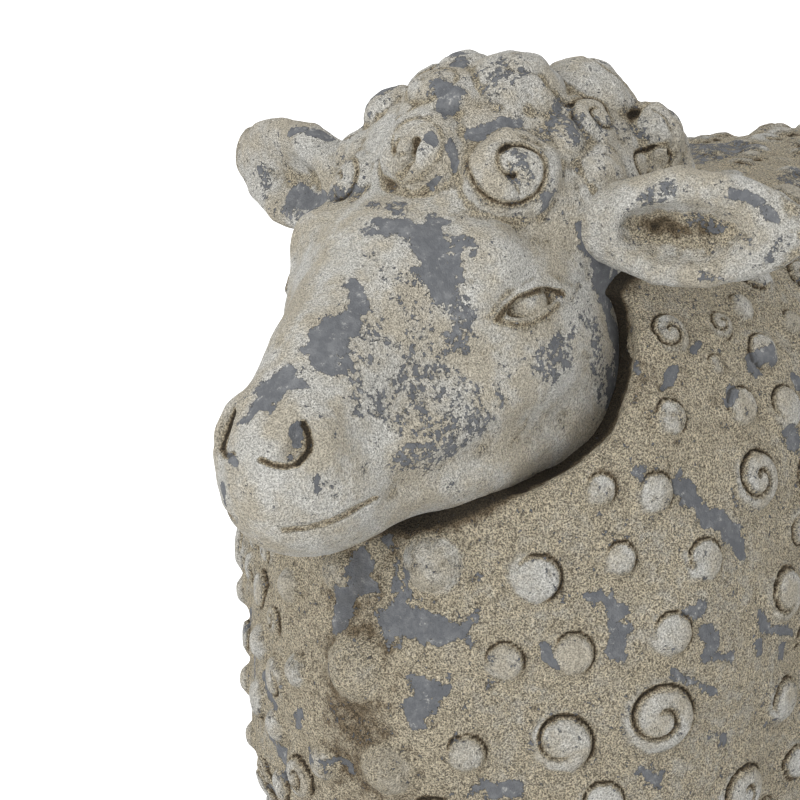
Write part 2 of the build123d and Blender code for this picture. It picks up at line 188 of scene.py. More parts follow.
class Clay:
    """Block of space where forms are blended before they become a mesh."""

    def __init__(self, low, high, step):
        self.step = step
        self.low = np.asarray(low, float)
        self.axes = [np.arange(a, b + step, step, dtype=np.float32) for a, b in zip(low, high)]
        self.field = np.full([len(axis) for axis in self.axes], 1e3, np.float32)

    def window(self, centre, reach):
        """Part of the block round a point, and its coordinates."""
        spans = []
        for axis, middle in zip(self.axes, centre):
            first = int((middle - reach - axis[0]) / self.step)
            last = int((middle + reach - axis[0]) / self.step) + 2
            spans.append(slice(max(first, 0), max(min(last, len(axis)), 0)))
        x, y, z = (axis[span] for axis, span in zip(self.axes, spans))
        return tuple(spans), (x[:, None, None], y[None, :, None], z[None, None, :])

    def blend(self, form, width, sign):
        """Smooth union where sign is 1, smooth cut where it is -1."""
        spans, places = self.window(form.centre, form.reach + width + 3 * self.step)
        old = sign * self.field[spans]
        new = form.distance(*places).astype(np.float32)
        low = np.minimum(old, new)
        if width:
            overlap = np.maximum(width - np.abs(old - new), 0) / width
            low = low - overlap**2 * width / 4
        self.field[spans] = sign * low

    def add(self, form, width=0.0):
        self.blend(form, width, 1)

    def cut(self, form, width=0.0):
        self.blend(form, width, -1)

    def sample(self, points):
        """Distance at any points."""
        place = (np.asarray(points, float) - self.low) / self.step
        top = np.array(self.field.shape) - 2
        cell = np.clip(np.floor(place).astype(int), 0, top)
        share = np.clip(place - cell, 0, 1)
        total = 0
        for corner in CORNERS:
            weight = np.prod(np.where(corner, share, 1 - share), axis=-1)
            i, j, k = (cell + corner).T
            total = total + weight * self.field[i, j, k]
        return total

    def normals(self, points):
        """Outward directions at points."""
        parts = []
        for axis in np.eye(3) * self.step:
            parts.append(self.sample(points + axis) - self.sample(points - axis))
        return unit(np.stack(parts, -1) + 1e-9)

    def hit(self, px, py):
        """Point of the surface that shows at a pixel of the photograph, or lies nearest to it."""
        along = np.arange(0.6 * view_distance, 1.7 * view_distance, self.step)
        points = camera_place + along[:, None] * pixel_ray(px, py)
        away = self.sample(points)
        inside = np.nonzero(away < 0)[0]
        if not len(inside):
            near = points[np.argmin(away)]
            return near - self.normals(near[None])[0] * away.min()
        last = inside[0]
        share = away[last - 1] / (away[last - 1] - away[last])
        return points[last - 1] + share * (points[last] - points[last - 1])

    def line(self, pixels, lift=0.0):
        """Points of the surface under a row of pixels, raised by lift."""
        points = np.array([self.hit(px, py) for px, py in pixels])
        return points + lift * self.normals(points)

    def skin(self):
        """Quads that follow the surface."""
        solid = self.field < 0
        size = np.array(solid.shape) - 1
        count = np.zeros(size, np.int8)
        for i, j, k in CORNERS:
            count += solid[i : i + size[0], j : j + size[1], k : k + size[2]]
        cells = np.argwhere((count > 0) & (count < 8))
        index = np.full(size, -1, np.int64)
        index[tuple(cells.T)] = np.arange(len(cells))
        total = np.zeros((len(cells), 3))
        hits = np.zeros(len(cells))
        for a, b in EDGES:
            at_a = self.field[tuple((cells + a).T)]
            at_b = self.field[tuple((cells + b).T)]
            cross = (at_a < 0) != (at_b < 0)
            share = at_a[cross] / (at_a[cross] - at_b[cross])
            total[cross] += np.array(a) + share[:, None] * np.subtract(b, a)
            hits[cross] += 1
        points = self.low + self.step * (cells + total / hits[:, None])
        quads = []
        for axis in range(3):
            one, two = [n for n in range(3) if n != axis]
            flat = np.moveaxis(solid, axis, 0)
            change = np.moveaxis(flat[:-1] != flat[1:], 0, axis)
            spots = np.argwhere(change)
            spots = spots[(spots[:, one] > 0) & (spots[:, two] > 0)]
            spots = spots[(spots[:, one] < size[one]) & (spots[:, two] < size[two])]
            step_one = np.eye(3, dtype=int)[one]
            step_two = np.eye(3, dtype=int)[two]
            ring = [spots, spots - step_one, spots - step_one - step_two, spots - step_two]
            ring = np.stack([index[tuple(corner.T)] for corner in ring], 1)
            turned = solid[tuple(spots.T)] ^ (axis == 1)
            ring[~turned] = ring[~turned][:, ::-1]
            quads.append(ring)
        return points, np.concatenate(quads)

    def surface(self):
        """Points of the skin, its quads, and the outward direction at each point."""
        points, quads = self.skin()
        return points, quads, self.normals(points)


class Neighbours:
    """Mean over the neighbours of each point of a mesh."""

    def __init__(self, quads, count):
        edges = np.concatenate([quads[:, (n, (n + 1) % 4)] for n in range(4)])
        self.ends = np.concatenate([edges, edges[:, ::-1]])
        self.count = count
        self.degree = np.maximum(np.bincount(self.ends[:, 0], minlength=count), 1)

    def mean(self, values):
        columns = values.reshape(self.count, -1).T
        sums = [
            np.bincount(self.ends[:, 0], column[self.ends[:, 1]], self.count)
            for column in columns
        ]
        return (np.stack(sums, -1) / self.degree[:, None]).reshape(values.shape)


def face_normals(points, quads):
    """Mean outward direction at each point of a mesh."""
    a, b, c, d = (points[quads[:, n]] for n in range(4))
    flat = np.cross(c - a, d - b)
    total = np.zeros_like(points)
    for n in range(4):
        for axis in range(3):
            total[:, axis] += np.bincount(quads[:, n], flat[:, axis], len(points))
    return unit(total + 1e-12)


def smooth_step(value, low, high):
    """Rises from 0 at low to 1 at high without a corner."""
    share = np.clip((value - low) / (high - low), 0, 1)
    return share * share * (3 - 2 * share)


def lumps(points, size, seed):
    """Smooth seeded noise from -1 to 1 with lumps of one size."""
    random = np.random.default_rng(seed)
    table = random.uniform(-1, 1, 4096)
    place = points / size
    cell = np.floor(place).astype(np.int64)
    share = place - cell
    share = share * share * (3 - 2 * share)
    total = 0
    for corner in CORNERS:
        i, j, k = (cell + corner).T
        chosen = (i * 73856093 ^ j * 19349663 ^ k * 83492791) & 4095
        weight = np.prod(np.where(corner, share, 1 - share), axis=-1)
        total = total + weight * table[chosen]
    return total


def layered_lumps(points, layers, seed):
    """Sum of noises given by size and strength, each with the next seed."""
    return sum(lumps(points, size, seed + n) * part for n, (size, part) in enumerate(layers))


def tangent_axes(normal, turn):
    """Two directions across a normal, turned about it."""
    side = unit(np.cross((0.0, 0.0, 1.0), normal) + (1e-6, 0, 0))
    rise = np.cross(normal, side)
    return (
        side * math.cos(turn) + rise * math.sin(turn),
        rise * math.cos(turn) - side * math.sin(turn),
    )


# Shape of a snail curl, in radians from its turn and in shares of its radius
curl_reach_share = 1.6
curl_start = 1.4
steep_angle = 1.0
mound_inner_shares = (0.44, 0.82)
mound_outer_shares = (1.38, 1.12)
dome_share = 0.48
plain_mound_share = 1.5
groove_start_share = 1.04
groove_step_share = 0.58
groove_width_share = 0.075
groove_depth_share = 0.42
groove_fade_in = 1.1
groove_fade_out = 1.8
full_turn = 2 * math.pi


def curl_relief(points, centre, normal, radius, turn, hand, height, coils):
    """Height of one snail curl above the surface, and how deep in its groove each point lies.

    A curl without coils is a plain soft mound.
    """
    near = np.nonzero(np.linalg.norm(points - centre, axis=1) < radius * curl_reach_share)[0]
    gaps = points[near] - centre
    across, along = tangent_axes(normal, turn)
    u = gaps @ across
    v = gaps @ along * hand
    away = np.hypot(u, v) / radius
    angle = np.mod(np.arctan2(v, u) - curl_start, full_turn)
    steep = (0.5 + 0.5 * np.cos(angle - steep_angle)) * (coils > 0)
    inner = mound_inner_shares[0] + (mound_inner_shares[1] - mound_inner_shares[0]) * steep
    outer = mound_outer_shares[0] + (mound_outer_shares[1] - mound_outer_shares[0]) * steep
    dome = 1 - dome_share * np.clip(away, 0, 1) ** 2
    mound = (1 - smooth_step(away, inner, outer)) * dome * (1.0 if coils else plain_mound_share)
    groove = np.zeros(len(near))
    last = full_turn * coils
    for lap in range(3):
        wound = angle + full_turn * lap
        path = np.maximum(groove_start_share - groove_step_share * wound / full_turn, 0)
        ends = smooth_step(wound, last - groove_fade_out, last)
        fade = smooth_step(wound, 0.0, groove_fade_in) * (1 - ends)
        groove = np.maximum(groove, np.exp(-(((away - path) / groove_width_share) ** 2)) * fade)
    return near, height * (mound - groove_depth_share * groove), groove


def clearance(place, radius, others, spacing):
    """Least gap from a new curl to the others, each of which starts with its centre and radius."""
    if not others:
        return math.inf
    centres = np.array([other[0] for other in others])
    radii = np.array([other[1] for other in others])
    return (np.linalg.norm(centres - place, axis=1) - spacing * (radii + radius)).min()


def scatter_curls(points, count, radii, spacing, allowed, coils, random):
    """Seeded curls on a surface, where they are allowed and have room."""
    curls = []
    for place in points[random.permutation(len(points))[:count]]:
        radius = random.uniform(*radii)
        if allowed(place) and clearance(place, radius, curls, spacing) > 0:
            turn = random.uniform(0, full_turn)
            curls.append((place, radius, turn, random.choice((-1, 1)), coils()))
    return curls


def add_masses(clay, masses, place):
    """Adds each mass on both sides, or once where it lies in the middle."""
    for x, along, z, *radii, width in masses:
        for side in (1, -1) if x else (1,):
            clay.add(ellipsoid(place(side * x, along, z), radii), width)


def add_object(name, data):
    """New object in the scene."""
    made = bpy.data.objects.new(name, data)
    bpy.context.scene.collection.objects.link(made)
    return made


def aim(thing, right, up, back, place):
    """Stands a camera or a lamp at a place in metres."""
    rows = [[right[n], up[n], back[n], place[n]] for n in range(3)]
    thing.matrix_world = Matrix([*rows, [0, 0, 0, 1]])


PIECES = {}
most_dirt_and_shade = 1.5


def make_piece(name, points, quads, node, bare, dirt_and_shade):
    """Mesh piece with its wear attribute and its dirt with painted shade, riding in place of a CAD
    node.
    """
    mesh = bpy.data.meshes.new(name)
    mesh.vertices.add(len(points))
    mesh.vertices.foreach_set("co", (points * MM).astype(np.float32).ravel())
    mesh.loops.add(quads.size)
    mesh.loops.foreach_set("vertex_index", quads.astype(np.int32).ravel())
    mesh.polygons.add(len(quads))
    mesh.polygons.foreach_set("loop_start", np.arange(0, quads.size, 4, dtype=np.int32))
    mesh.update(calc_edges=True)
    mesh.validate()
    mesh.polygons.foreach_set("use_smooth", np.ones(len(mesh.polygons), bool))
    for label, values in (("bare", bare), ("dirt_and_shade", np.clip(dirt_and_shade, 0, most_dirt_and_shade))):
        layer = mesh.attributes.new(label, "FLOAT", "POINT")
        layer.data.foreach_set("value", values.astype(np.float32))
    piece = add_object(name, mesh)
    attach(piece, "root")
    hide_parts(node)
    PIECES[name] = piece


# Steps of the blocks, in millimetres
grid_scale = 1.0
head_step = 1.0 * grid_scale
front_step = 1.25 * grid_scale
back_step = 2.0 * grid_scale
ear_step = 0.8 * grid_scale
leg_step = 1.2 * grid_scale
tail_step = 1.0 * grid_scale
# Room round a form in its block
room = 8.0

# Head
head_clay = Clay(head_low - room, head_high + (room, room, 14.0), head_step)

# Main masses of the face: side offset, ahead, height, then radii across, along and up, and blend
face_masses = (
    (0.0, 8.0, 362.0, 60.0, 62.0, 50.0, 0.0),
    (0.0, 46.0, 356.0, 44.0, 44.0, 45.0, 16.0),
    (24.0, 22.0, 342.0, 37.0, 50.0, 42.0, 16.0),
    (0.0, 79.0, 340.0, 31.0, 41.0, 34.0, 16.0),
    (0.0, 108.0, 312.0, 32.0, 37.0, 34.0, 14.0),
    (0.0, 98.0, 299.0, 28.0, 38.0, 21.0, 14.0),
    (24.0, 40.0, 313.0, 34.0, 58.0, 29.0, 18.0),
    (40.0, 0.0, 327.0, 25.0, 36.0, 35.0, 14.0),
    (39.0, 46.0, 386.0, 12.0, 12.0, 9.0, 12.0),
)
add_masses(head_clay, face_masses, head_place)

# Wool cap, whose masses are given like those of the face
cap_radius = 62.0
wool_centre = head_place(0.0, -wool_setback, 386.0)
head_clay.add(ellipsoid(wool_centre, (cap_radius, cap_radius, cap_radius)), 6.0)
wool_masses = (
    (26.0, -30.0, 412.0, 30.0, 36.0, 28.0, 8.0),
    (42.0, -52.0, 402.0, 26.0, 27.0, 25.0, 8.0),
)
add_masses(head_clay, wool_masses, head_place)

# Locks of wool that the photograph shows: pixel, radius, turn of the spiral and hand
seen_locks = (
    (418, 150, 19.0, 2.0, 1),
    (512, 172, 20.0, 0.6, 1),
    (602, 177, 14.5, 1.2, -1),
    (350, 152, 13.0, 0.4, 1),
    (340, 190, 9.0, 0.4, 1),
    (384, 102, 13.0, 1.0, -1),
    (440, 94, 18.0, 0.2, 1),
    (458, 64, 15.0, 3.0, 1),
    (516, 82, 21.0, 5.6, -1),
    (600, 90, 22.0, 1.6, 1),
    (664, 132, 15.0, 0.9, 1),
    (566, 140, 11.0, 0.0, 1),
)
lock_places = [(head_clay.hit(px, py), *rest) for px, py, *rest in seen_locks]
hidden_lock_radii = (13.0, 20.0)
lock_spacing = 0.80
lock_places_tried = 2500
lock_depths_tried = np.arange(50.0, 110.0, 1.5)
# A lock is a flattened ball: how far it is sunk, and its radii, in shares of its radius
lock_sink_share = 0.26
lock_radii_shares = np.array((1.02, 0.94, 0.74))
lock_blend = 2.0


def fill_locks(count, seed):
    """Locks on the sides and back of the cap that the photograph doesn't show."""
    random = np.random.default_rng(seed)
    for _ in range(count):
        outward = unit(random.normal(size=3))
        radius = random.uniform(*hidden_lock_radii)
        # Numbers are parts of the outward direction across, along and up
        on_face = outward[2] < -0.05 or (outward[1] < -0.35 and outward[2] < 0.25)
        at_ear = abs(outward[0]) > 0.72 and outward[2] < 0.32 and abs(outward[1]) < 0.5
        if on_face or at_ear:
            continue
        way = wool_centre + lock_depths_tried[:, None] * outward
        inside = np.nonzero(head_clay.sample(way) < 0)[0]
        place = wool_centre + cap_radius * outward
        if len(inside) and outward[1] > 0.3:
            place = way[inside[-1]]
        if clearance(place, radius, lock_places, lock_spacing) > 0:
            lock_places.append((place, radius, random.uniform(0, 6.28), random.choice((-1, 1))))


fill_locks(lock_places_tried, 7)
for centre, radius, turn, hand in lock_places:
    outward = unit(centre - wool_centre)
    across, along = tangent_axes(outward, turn)
    body = centre - outward * radius * lock_sink_share
    axes = (across, along, outward)
    head_clay.add(ellipsoid(body, radius * lock_radii_shares, axes), lock_blend)

# Grooves that wind over the locks in front
lock_grooves = (
    ((505, 146), (506, 158), (511, 170), (514, 183), (520, 194)),
    ((524, 133), (537, 138), (547, 147), (551, 158)),
    ((580, 168), (586, 184), (600, 194), (616, 192)),
    ((540, 72), (552, 86), (566, 102)),
    ((652, 106), (667, 118), (675, 136), (672, 152)),
    ((396, 140), (390, 158), (399, 174)),
)
lock_groove_lift = 0.2
lock_groove_radius = 1.7
lock_groove_blend = 1.6
for groove in lock_grooves:
    for side in (1, -1):
        line = head_clay.line(groove, lock_groove_lift) * (side, 1, 1)
        head_clay.cut(tube(line, lock_groove_radius), lock_groove_blend)

# Eyes
upper_lid = ((494, 321), (503, 309), (513, 296), (527, 288), (543, 281), (555, 285), (573, 292))
lower_lid = ((494, 321), (504, 318), (516, 321), (531, 321), (545, 314), (557, 303), (573, 292))
eye_pixel = (533, 303)
brow_line = ((482, 300), (505, 278), (540, 262), (572, 268))
upper_lid_radii = (0.8, 1.7, 2.1, 2.2, 2.1, 1.8, 0.9)
lower_lid_radii = (0.8, 1.2, 1.5, 1.5, 1.4, 1.2, 0.8)
brow_radii = (3.0, 5.5, 5.5, 3.0)
socket_radii = (13.5, 6.6, 5.0)
eyeball_radii = (9.0, 6.4, 5.8)
eyeball_depth = 4.6
socket_lift = 0.6
upper_lid_lift = 0.4
brow_sink = 3.5
brow_blend = 7.0
socket_blend = 2.5
eyeball_blend = 0.8
lid_blend = 1.6


def sculpt_eyes():
    """Bulging eyes in almond sockets between raised lids, below a soft brow."""
    centre = head_clay.hit(*eye_pixel)
    outward = head_clay.normals(centre[None])[0]
    upper = head_clay.line(upper_lid, upper_lid_lift)
    lower = head_clay.line(lower_lid)
    brow = head_clay.line(brow_line, -brow_sink)
    length = unit(upper[-1] - upper[0])
    across = unit(np.cross(outward, length))
    axes = np.array((np.cross(across, outward), across, outward))
    for side in (1, -1):
        flip = np.array((side, 1, 1))
        socket = (centre + socket_lift * outward) * flip
        eyeball = (centre - eyeball_depth * outward) * flip
        head_clay.add(tube(brow * flip, brow_radii), brow_blend)
        head_clay.cut(ellipsoid(socket, socket_radii, axes * flip), socket_blend)
        head_clay.add(ellipsoid(eyeball, eyeball_radii, axes * flip), eyeball_blend)
        head_clay.add(tube(upper * flip, upper_lid_radii), lid_blend)
        head_clay.add(tube(lower * flip, lower_lid_radii), lid_blend)


sculpt_eyes()

# Nostrils, mouth and the ridges of the cheek
nostril_slot = ((303, 424), (307, 431), (309, 441), (308, 450), (304, 457), (298, 463))
nostril_floor = ((262, 460), (273, 465), (286, 467), (299, 463))
nostril_hollow = ((301, 430), (299, 443), (291, 457))
nostril_wing = ((306, 412), (322, 428), (325, 448), (314, 468))
mouth_line = ((283, 530), (303, 529), (321, 525), (332, 522), (344, 516), (359, 507), (376, 497))
cheek_ridge = ((598, 350), (545, 372), (490, 398), (430, 430), (385, 452))
jaw_groove = ((560, 420), (500, 446), (440, 474), (395, 492))
# Forms of the muzzle: pixels, lift, radii and blend, and 1 where added or -1 where cut
muzzle_forms = (
    (nostril_wing, -4.5, (4.0, 6.5, 6.5, 4.0), 7.0, 1),
    (cheek_ridge, -8.5, (7.0, 10.5, 11.0, 10.0, 6.0), 10.0, 1),
    (jaw_groove, 4.5, (3.0, 6.0, 6.0, 3.0), 9.0, -1),
    (nostril_hollow, 1.0, (3.2, 4.8, 3.8), 2.5, -1),
    (nostril_slot, -0.2, (0.8, 1.6, 1.9, 1.9, 1.6, 1.1), 0.8, -1),
    (nostril_floor, -0.2, (0.6, 1.6, 1.6, 1.0), 1.0, -1),
    (mouth_line, 0.0, (1.2, 1.5, 1.6, 1.7, 1.8, 1.6, 1.0), 1.2, -1),
)


def sculpt_muzzle():
    """Nostrils, lips and the soft ridges that run back over the cheek."""
    lines = [head_clay.line(pixels, lift) for pixels, lift, _, _, _ in muzzle_forms]
    for side in (1, -1):
        for line, (_, _, radii, width, sign) in zip(lines, muzzle_forms):
            head_clay.blend(tube(line * (side, 1, 1), radii), width, sign)


sculpt_muzzle()


# Fleece
def fleece_distance(x, y, z):
    """Smooth round-backed body without curls."""
    side = np.abs(x)
    along = np.abs(y - body_middle)
    in_flank = np.arctan2(along, side + side_centre) < side_half_angle
    flank = np.hypot(side + side_centre, along) - side_radius
    end = np.hypot(side, along - end_centre) - crown_radius
    plan = np.where(in_flank, flank, end)
    crown = np.hypot(np.maximum(plan + crown_radius, 0), z - crown_level) - crown_radius
    belly = np.hypot(np.maximum(plan + belly_radius, 0), belly_level - z) - belly_radius
    return np.where(z > crown_level, crown, np.where(z < belly_level, belly, plan))


# The front of the fleece, which the photograph shows, has a finer grid than the rest
fleece_seam = body_middle - 60.0
fleece_overlap = 1.5
body_form = Form(fleece_distance, (0.0, body_middle, crown_level), 2 * half_length)

# Shoulders, haunches and breast: side offset, place along the body, height, radii and blend
fleece_masses = (
    (62.0, -112.0, 226.0, 58.0, 70.0, 84.0, 20.0),
    (64.0, 175.0, 232.0, 58.0, 74.0, 88.0, 20.0),
    (0.0, -148.0, 210.0, 66.0, 74.0, 72.0, 24.0),
    (46.0, -122.0, 173.0, 61.0, 71.0, 61.0, 18.0),
)
plug_centre = (plug_low + plug_high) / 2
plug_radius = (plug_high[0] - plug_low[0]) / 2
plug_play = 0.6


def plug_hole_distance(x, y, z):
    """Round hole that the belly plug closes."""
    wall = np.hypot(x - plug_centre[0], y - plug_centre[1]) - plug_radius - plug_play
    return np.maximum(wall, z - plug_high[2] - plug_play)


# Hollow in which the cheeks lie, along the edge of the cheek: pixel and radius in millimetres
cheek_hollow = (
    (610, 322, 9.0),
    (610, 350, 9.0),
    (606, 380, 9.0),
    (598, 405, 8.5),
    (580, 432, 8.0),
    (552, 456, 7.5),
    (516, 476, 6.5),
    (476, 489, 6.0),
    (590, 419, 8.3),
    (566, 444, 7.8),
    (534, 466, 7.0),
    (496, 483, 6.3),
    (560, 388, 12.0),
    (570, 402, 11.0),
    (546, 430, 9.0),
    (518, 450, 8.0),
)
hollow_reach = 52.0
hollow_blend = 7.0


def sculpt_fleece(first, last, step):
    """Block of the fleece between two places along the body."""
    clay = Clay(
        (shell_low[0] - shell_high[0] - room, first, shell_low[2] - 6.0),
        (shell_high[0] + room, last, shell_high[2] + 12.0),
        step,
    )
    clay.add(body_form)
    add_masses(clay, fleece_masses, lambda *place: place)
    clay.cut(Form(plug_hole_distance, plug_centre, plug_radius + 12.0), 1.0)
    for px, py, radius in cheek_hollow:
        behind = head_clay.hit(px, py)
        front = behind - hollow_reach * pixel_ray(px, py)
        for side in (1, -1):
            clay.cut(tube(np.array((behind, front)) * (side, 1, 1), radius), hollow_blend)
    return clay


fleece_front = sculpt_fleece(shell_low[1] - room, fleece_seam + room, front_step)
fleece_back = sculpt_fleece(fleece_seam - room, shell_high[1] + room, back_step)

# Curls that the photograph shows: pixel, radius in pixels, turn and number of coils
seen_curls = (
    (667, 335, 26, 3.9, 1.8),
    (667, 417, 22, 3.7, 0.75),
    (652, 491, 24, 3.7, 0.75),
    (618, 557, 20, 3.7, 0.75),
    (701, 558, 25, 3.7, 0.9),
    (753, 478, 34, 3.7, 1.8),
    (571, 651, 25, 3.6, 0.75),
    (669, 632, 26, 3.7, 0.75),
    (782, 593, 32, 3.9, 1.1),
    (535, 575, 29, 3.3, 0.75),
    (502, 660, 23, 4.0, 0.75),
    (464, 752, 23, 4.1, 0.75),
    (561, 740, 34, 3.6, 1.15),
    (657, 715, 41, 3.8, 1.6),
    (780, 698, 28, 3.7, 0.9),
    (737, 790, 36, 3.9, 1.6),
    (713, 365, 13, 3.7, 0.75),
    (739, 307, 19, 3.7, 0.75),
    (782, 406, 26, 3.7, 0.9),
    (790, 322, 17, 3.7, 0.75),
    (434, 562, 33, 3.5, 0),
    (356, 668, 34, 3.7, 0),
    (388, 768, 30, 3.7, 0),
    (325, 762, 22, 3.7, 0),
    (292, 585, 21, 3.7, 0),
    (263, 642, 22, 3.7, 0),
    (278, 725, 20, 3.7, 0),
    (298, 671, 20, 3.7, 0),
    (340, 572, 22, 3.7, 0),
    (246, 590, 18, 3.7, 0),
    (247, 678, 18, 3.7, 0),
    (249, 735, 16, 3.7, 0),
    (248, 784, 18, 3.7, 0),
    (600, 800, 26, 3.7, 0.9),
    (598, 488, 19, 3.7, 0.75),
)
millimetres_per_pixel = view_distance / focal_pixels

# Rows of curls where the photograph shows none, as on the castings
seen_reach = 105.0
curl_radius = 13.5
curl_pitch = 38.0
belly_curl_share = 0.75
row_start_share = 0.55
row_stagger_share = 0.35


def outline_arcs(inset):
    """Radii of the end and the flank of the fleece, and the length of each arc on one side."""
    end_radius = crown_radius - inset
    flank_radius = side_radius - inset
    end_arc = end_radius * (math.pi / 2 - side_half_angle)
    return end_radius, flank_radius, end_arc, 2 * flank_radius * side_half_angle


def outline_place(inset, distance):
    """Point on the left half outline of the fleece, by distance from the chest."""
    end_radius, flank_radius, end_arc, flank_arc = outline_arcs(inset)
    if distance < end_arc:
        angle = distance / end_radius
        return end_radius * math.sin(angle), -end_centre - end_radius * math.cos(angle)
    if distance < end_arc + flank_arc:
        angle = (distance - end_arc) / flank_radius - side_half_angle
        return flank_radius * math.cos(angle) - side_centre, flank_radius * math.sin(angle)
    angle = (2 * end_arc + flank_arc - distance) / end_radius
    return end_radius * math.sin(angle), end_centre + end_radius * math.cos(angle)


def curved_row(level, radius, step, way):
    """Height and inset of a row of curls on the curve of the belly or the crown."""
    tilt = step * curl_pitch / radius
    return level + way * radius * math.sin(tilt), radius * (1 - math.cos(tilt))


def row_levels():
    """Height and inset of each row of curls, from the belly to the ridge."""
    belly_rows = int(belly_radius * math.pi / 2 * belly_curl_share / curl_pitch)
    rows = [curved_row(belly_level, belly_radius, step, -1) for step in range(belly_rows, 0, -1)]
    steps = max(1, round((crown_level - belly_level) / curl_pitch))
    rise = (crown_level - belly_level) / steps
    rows.extend((belly_level + step * rise, 0.0) for step in range(steps))
    crown_rows = max(1, int(crown_radius * math.pi / 2 / curl_pitch))
    rows.extend(curved_row(crown_level, crown_radius, step, 1) for step in range(crown_rows))
    return rows


def row_places():
    """Places of the curls of all rows on both sides."""
    places = []
    for row, (level, inset) in enumerate(row_levels()):
        _, _, end_arc, flank_arc = outline_arcs(inset)
        run = 2 * end_arc + flank_arc
        count = int((run - curl_pitch) / curl_pitch)
        first = curl_pitch * (row_start_share + row_stagger_share * (row % 2))
        step = (run - first - curl_pitch * row_start_share) / max(1, count - 1)
        for number in range(count):
            x, y = outline_place(inset, first + number * step)
            for side in (1, -1):
                places.append((side * x, body_middle + y, level))
    places = np.array(places)
    for _ in range(3):
        for clay, chosen in (
            (fleece_front, places[:, 1] < fleece_seam),
            (fleece_back, places[:, 1] >= fleece_seam),
        ):
            near = places[chosen]
            places[chosen] = near - clay.normals(near) * clay.sample(near)[:, None]
    return places


# Curls that fill the rest: spread of the row curls' size, radii of the small ones between them,
# how far apart both kinds keep, and how high above the belly they start
least_facing = 0.15
back_edge_pixel = 300
row_size_shares = (0.84, 1.12)
small_radii = (7.0, 10.5)
row_spacing = 0.98
small_spacing = 1.16
row_rise = 4.0
small_rise = 14.0
head_gap_share = 0.7
filled_coils = (0.75, 0.75, 1.0, 1.7)
places_tried = 5000
# Space that stays free round the tail: ahead of it, to its sides, and up and down from its middle
tail_space = (40.0, 30.0, 60.0)


def photographed(place):
    """Whether a place of the fleece shows in the photograph, below the back."""
    gap = place - camera_place
    pixels = focal_pixels * np.array((gap @ camera_right, -gap @ camera_up)) / -(gap @ camera_back)
    across, down = pixels + photo_width / 2
    facing = fleece_front.normals(place[None])[0] @ view_back
    in_front = facing > least_facing and place[1] < fleece_seam
    return in_front and across < photo_width and back_edge_pixel < down < photo_width


def fleece_curls():
    """Every curl of the fleece: those of the photograph, the rows, and small ones between."""
    curls = []
    for px, py, radius, turn, coils in seen_curls:
        centre = fleece_front.hit(px, py)
        curls.append((centre, radius * millimetres_per_pixel, turn, 1, coils))
    seen_middle = np.mean([curl[0] for curl in curls], axis=0)
    random = np.random.default_rng(21)
    candidates = [(place, True) for place in row_places()]
    for clay in (fleece_front, fleece_back):
        points, _ = clay.skin()
        chosen = points[random.permutation(len(points))[:places_tried]]
        candidates.extend((place, False) for place in chosen)
    tail_low, tail_high = box_mm("tail")
    tail_middle = (tail_low[2] + tail_high[2]) / 2
    for place, row in candidates:
        if row:
            radius = curl_radius * random.uniform(*row_size_shares)
        else:
            radius = random.uniform(*small_radii)
        if place[2] < belly_height + (row_rise if row else small_rise):
            continue
        if clearance(place, radius, curls, row_spacing if row else small_spacing) < 0:
            continue
        if head_clay.sample(place[None])[0] < radius * head_gap_share and place[1] < 0:
            continue
        if photographed(place) if row else np.linalg.norm(place - seen_middle) < seen_reach:
            continue
        beside = abs(place[0]) < tail_space[1] and abs(place[2] - tail_middle) < tail_space[2]
        if beside and place[1] > tail_low[1] - tail_space[0]:
            continue
        turn = random.uniform(0, full_turn)
        curls.append((place, radius, turn, random.choice((-1, 1)), random.choice(filled_coils)))
    return curls


# How far out a surface is raised where it turns from dirty ground to clean curl
ground_edge = (0.8, 3.2)
ground_dirt = 0.44
# The spiral grooves of the curls get painted shade as well as dirt
groove_shade_and_dirt = 1.1
# Lumps of the ground by size and strength, and how much of them the curls lose
rough_layers = ((16.0, 0.9), (7.0, 0.55), (3.2, 0.40))
curl_smoothing = 0.65


def shape_surface(points, normals, curls, height_share, lump_height, seed):
    """Moves points out by curls and lumps, and says how much ground and groove each lies in."""
    raised = np.zeros(len(points))
    grooved = np.zeros(len(points))
    for centre, radius, turn, hand, coils in curls:
        nearest = np.argmin(np.linalg.norm(points - centre, axis=1))
        normal = normals[nearest]
        near, relief, groove = curl_relief(
            points, centre, normal, radius, turn, hand, radius * height_share, coils
        )
        raised[near] = np.where(np.abs(relief) > np.abs(raised[near]), relief, raised[near])
        grooved[near] = np.maximum(grooved[near], groove)
    clean = smooth_step(raised, *ground_edge)
    rough = layered_lumps(points, rough_layers, seed) * (1 - curl_smoothing * clean)
    shaped = points + normals * (raised + lump_height * rough)[:, None]
    return shaped, groove_shade_and_dirt * grooved + ground_dirt * (1 - clean)


def cavity(points, quads, reach):
    """How far each point lies below its surroundings, in millimetres."""
    neighbours = Neighbours(quads, len(points))
    normals = face_normals(points, quads)
    smooth = points
    for _ in range(reach):
        smooth = neighbours.mean(smooth)
    return np.einsum("ij,ij->i", smooth - points, normals)


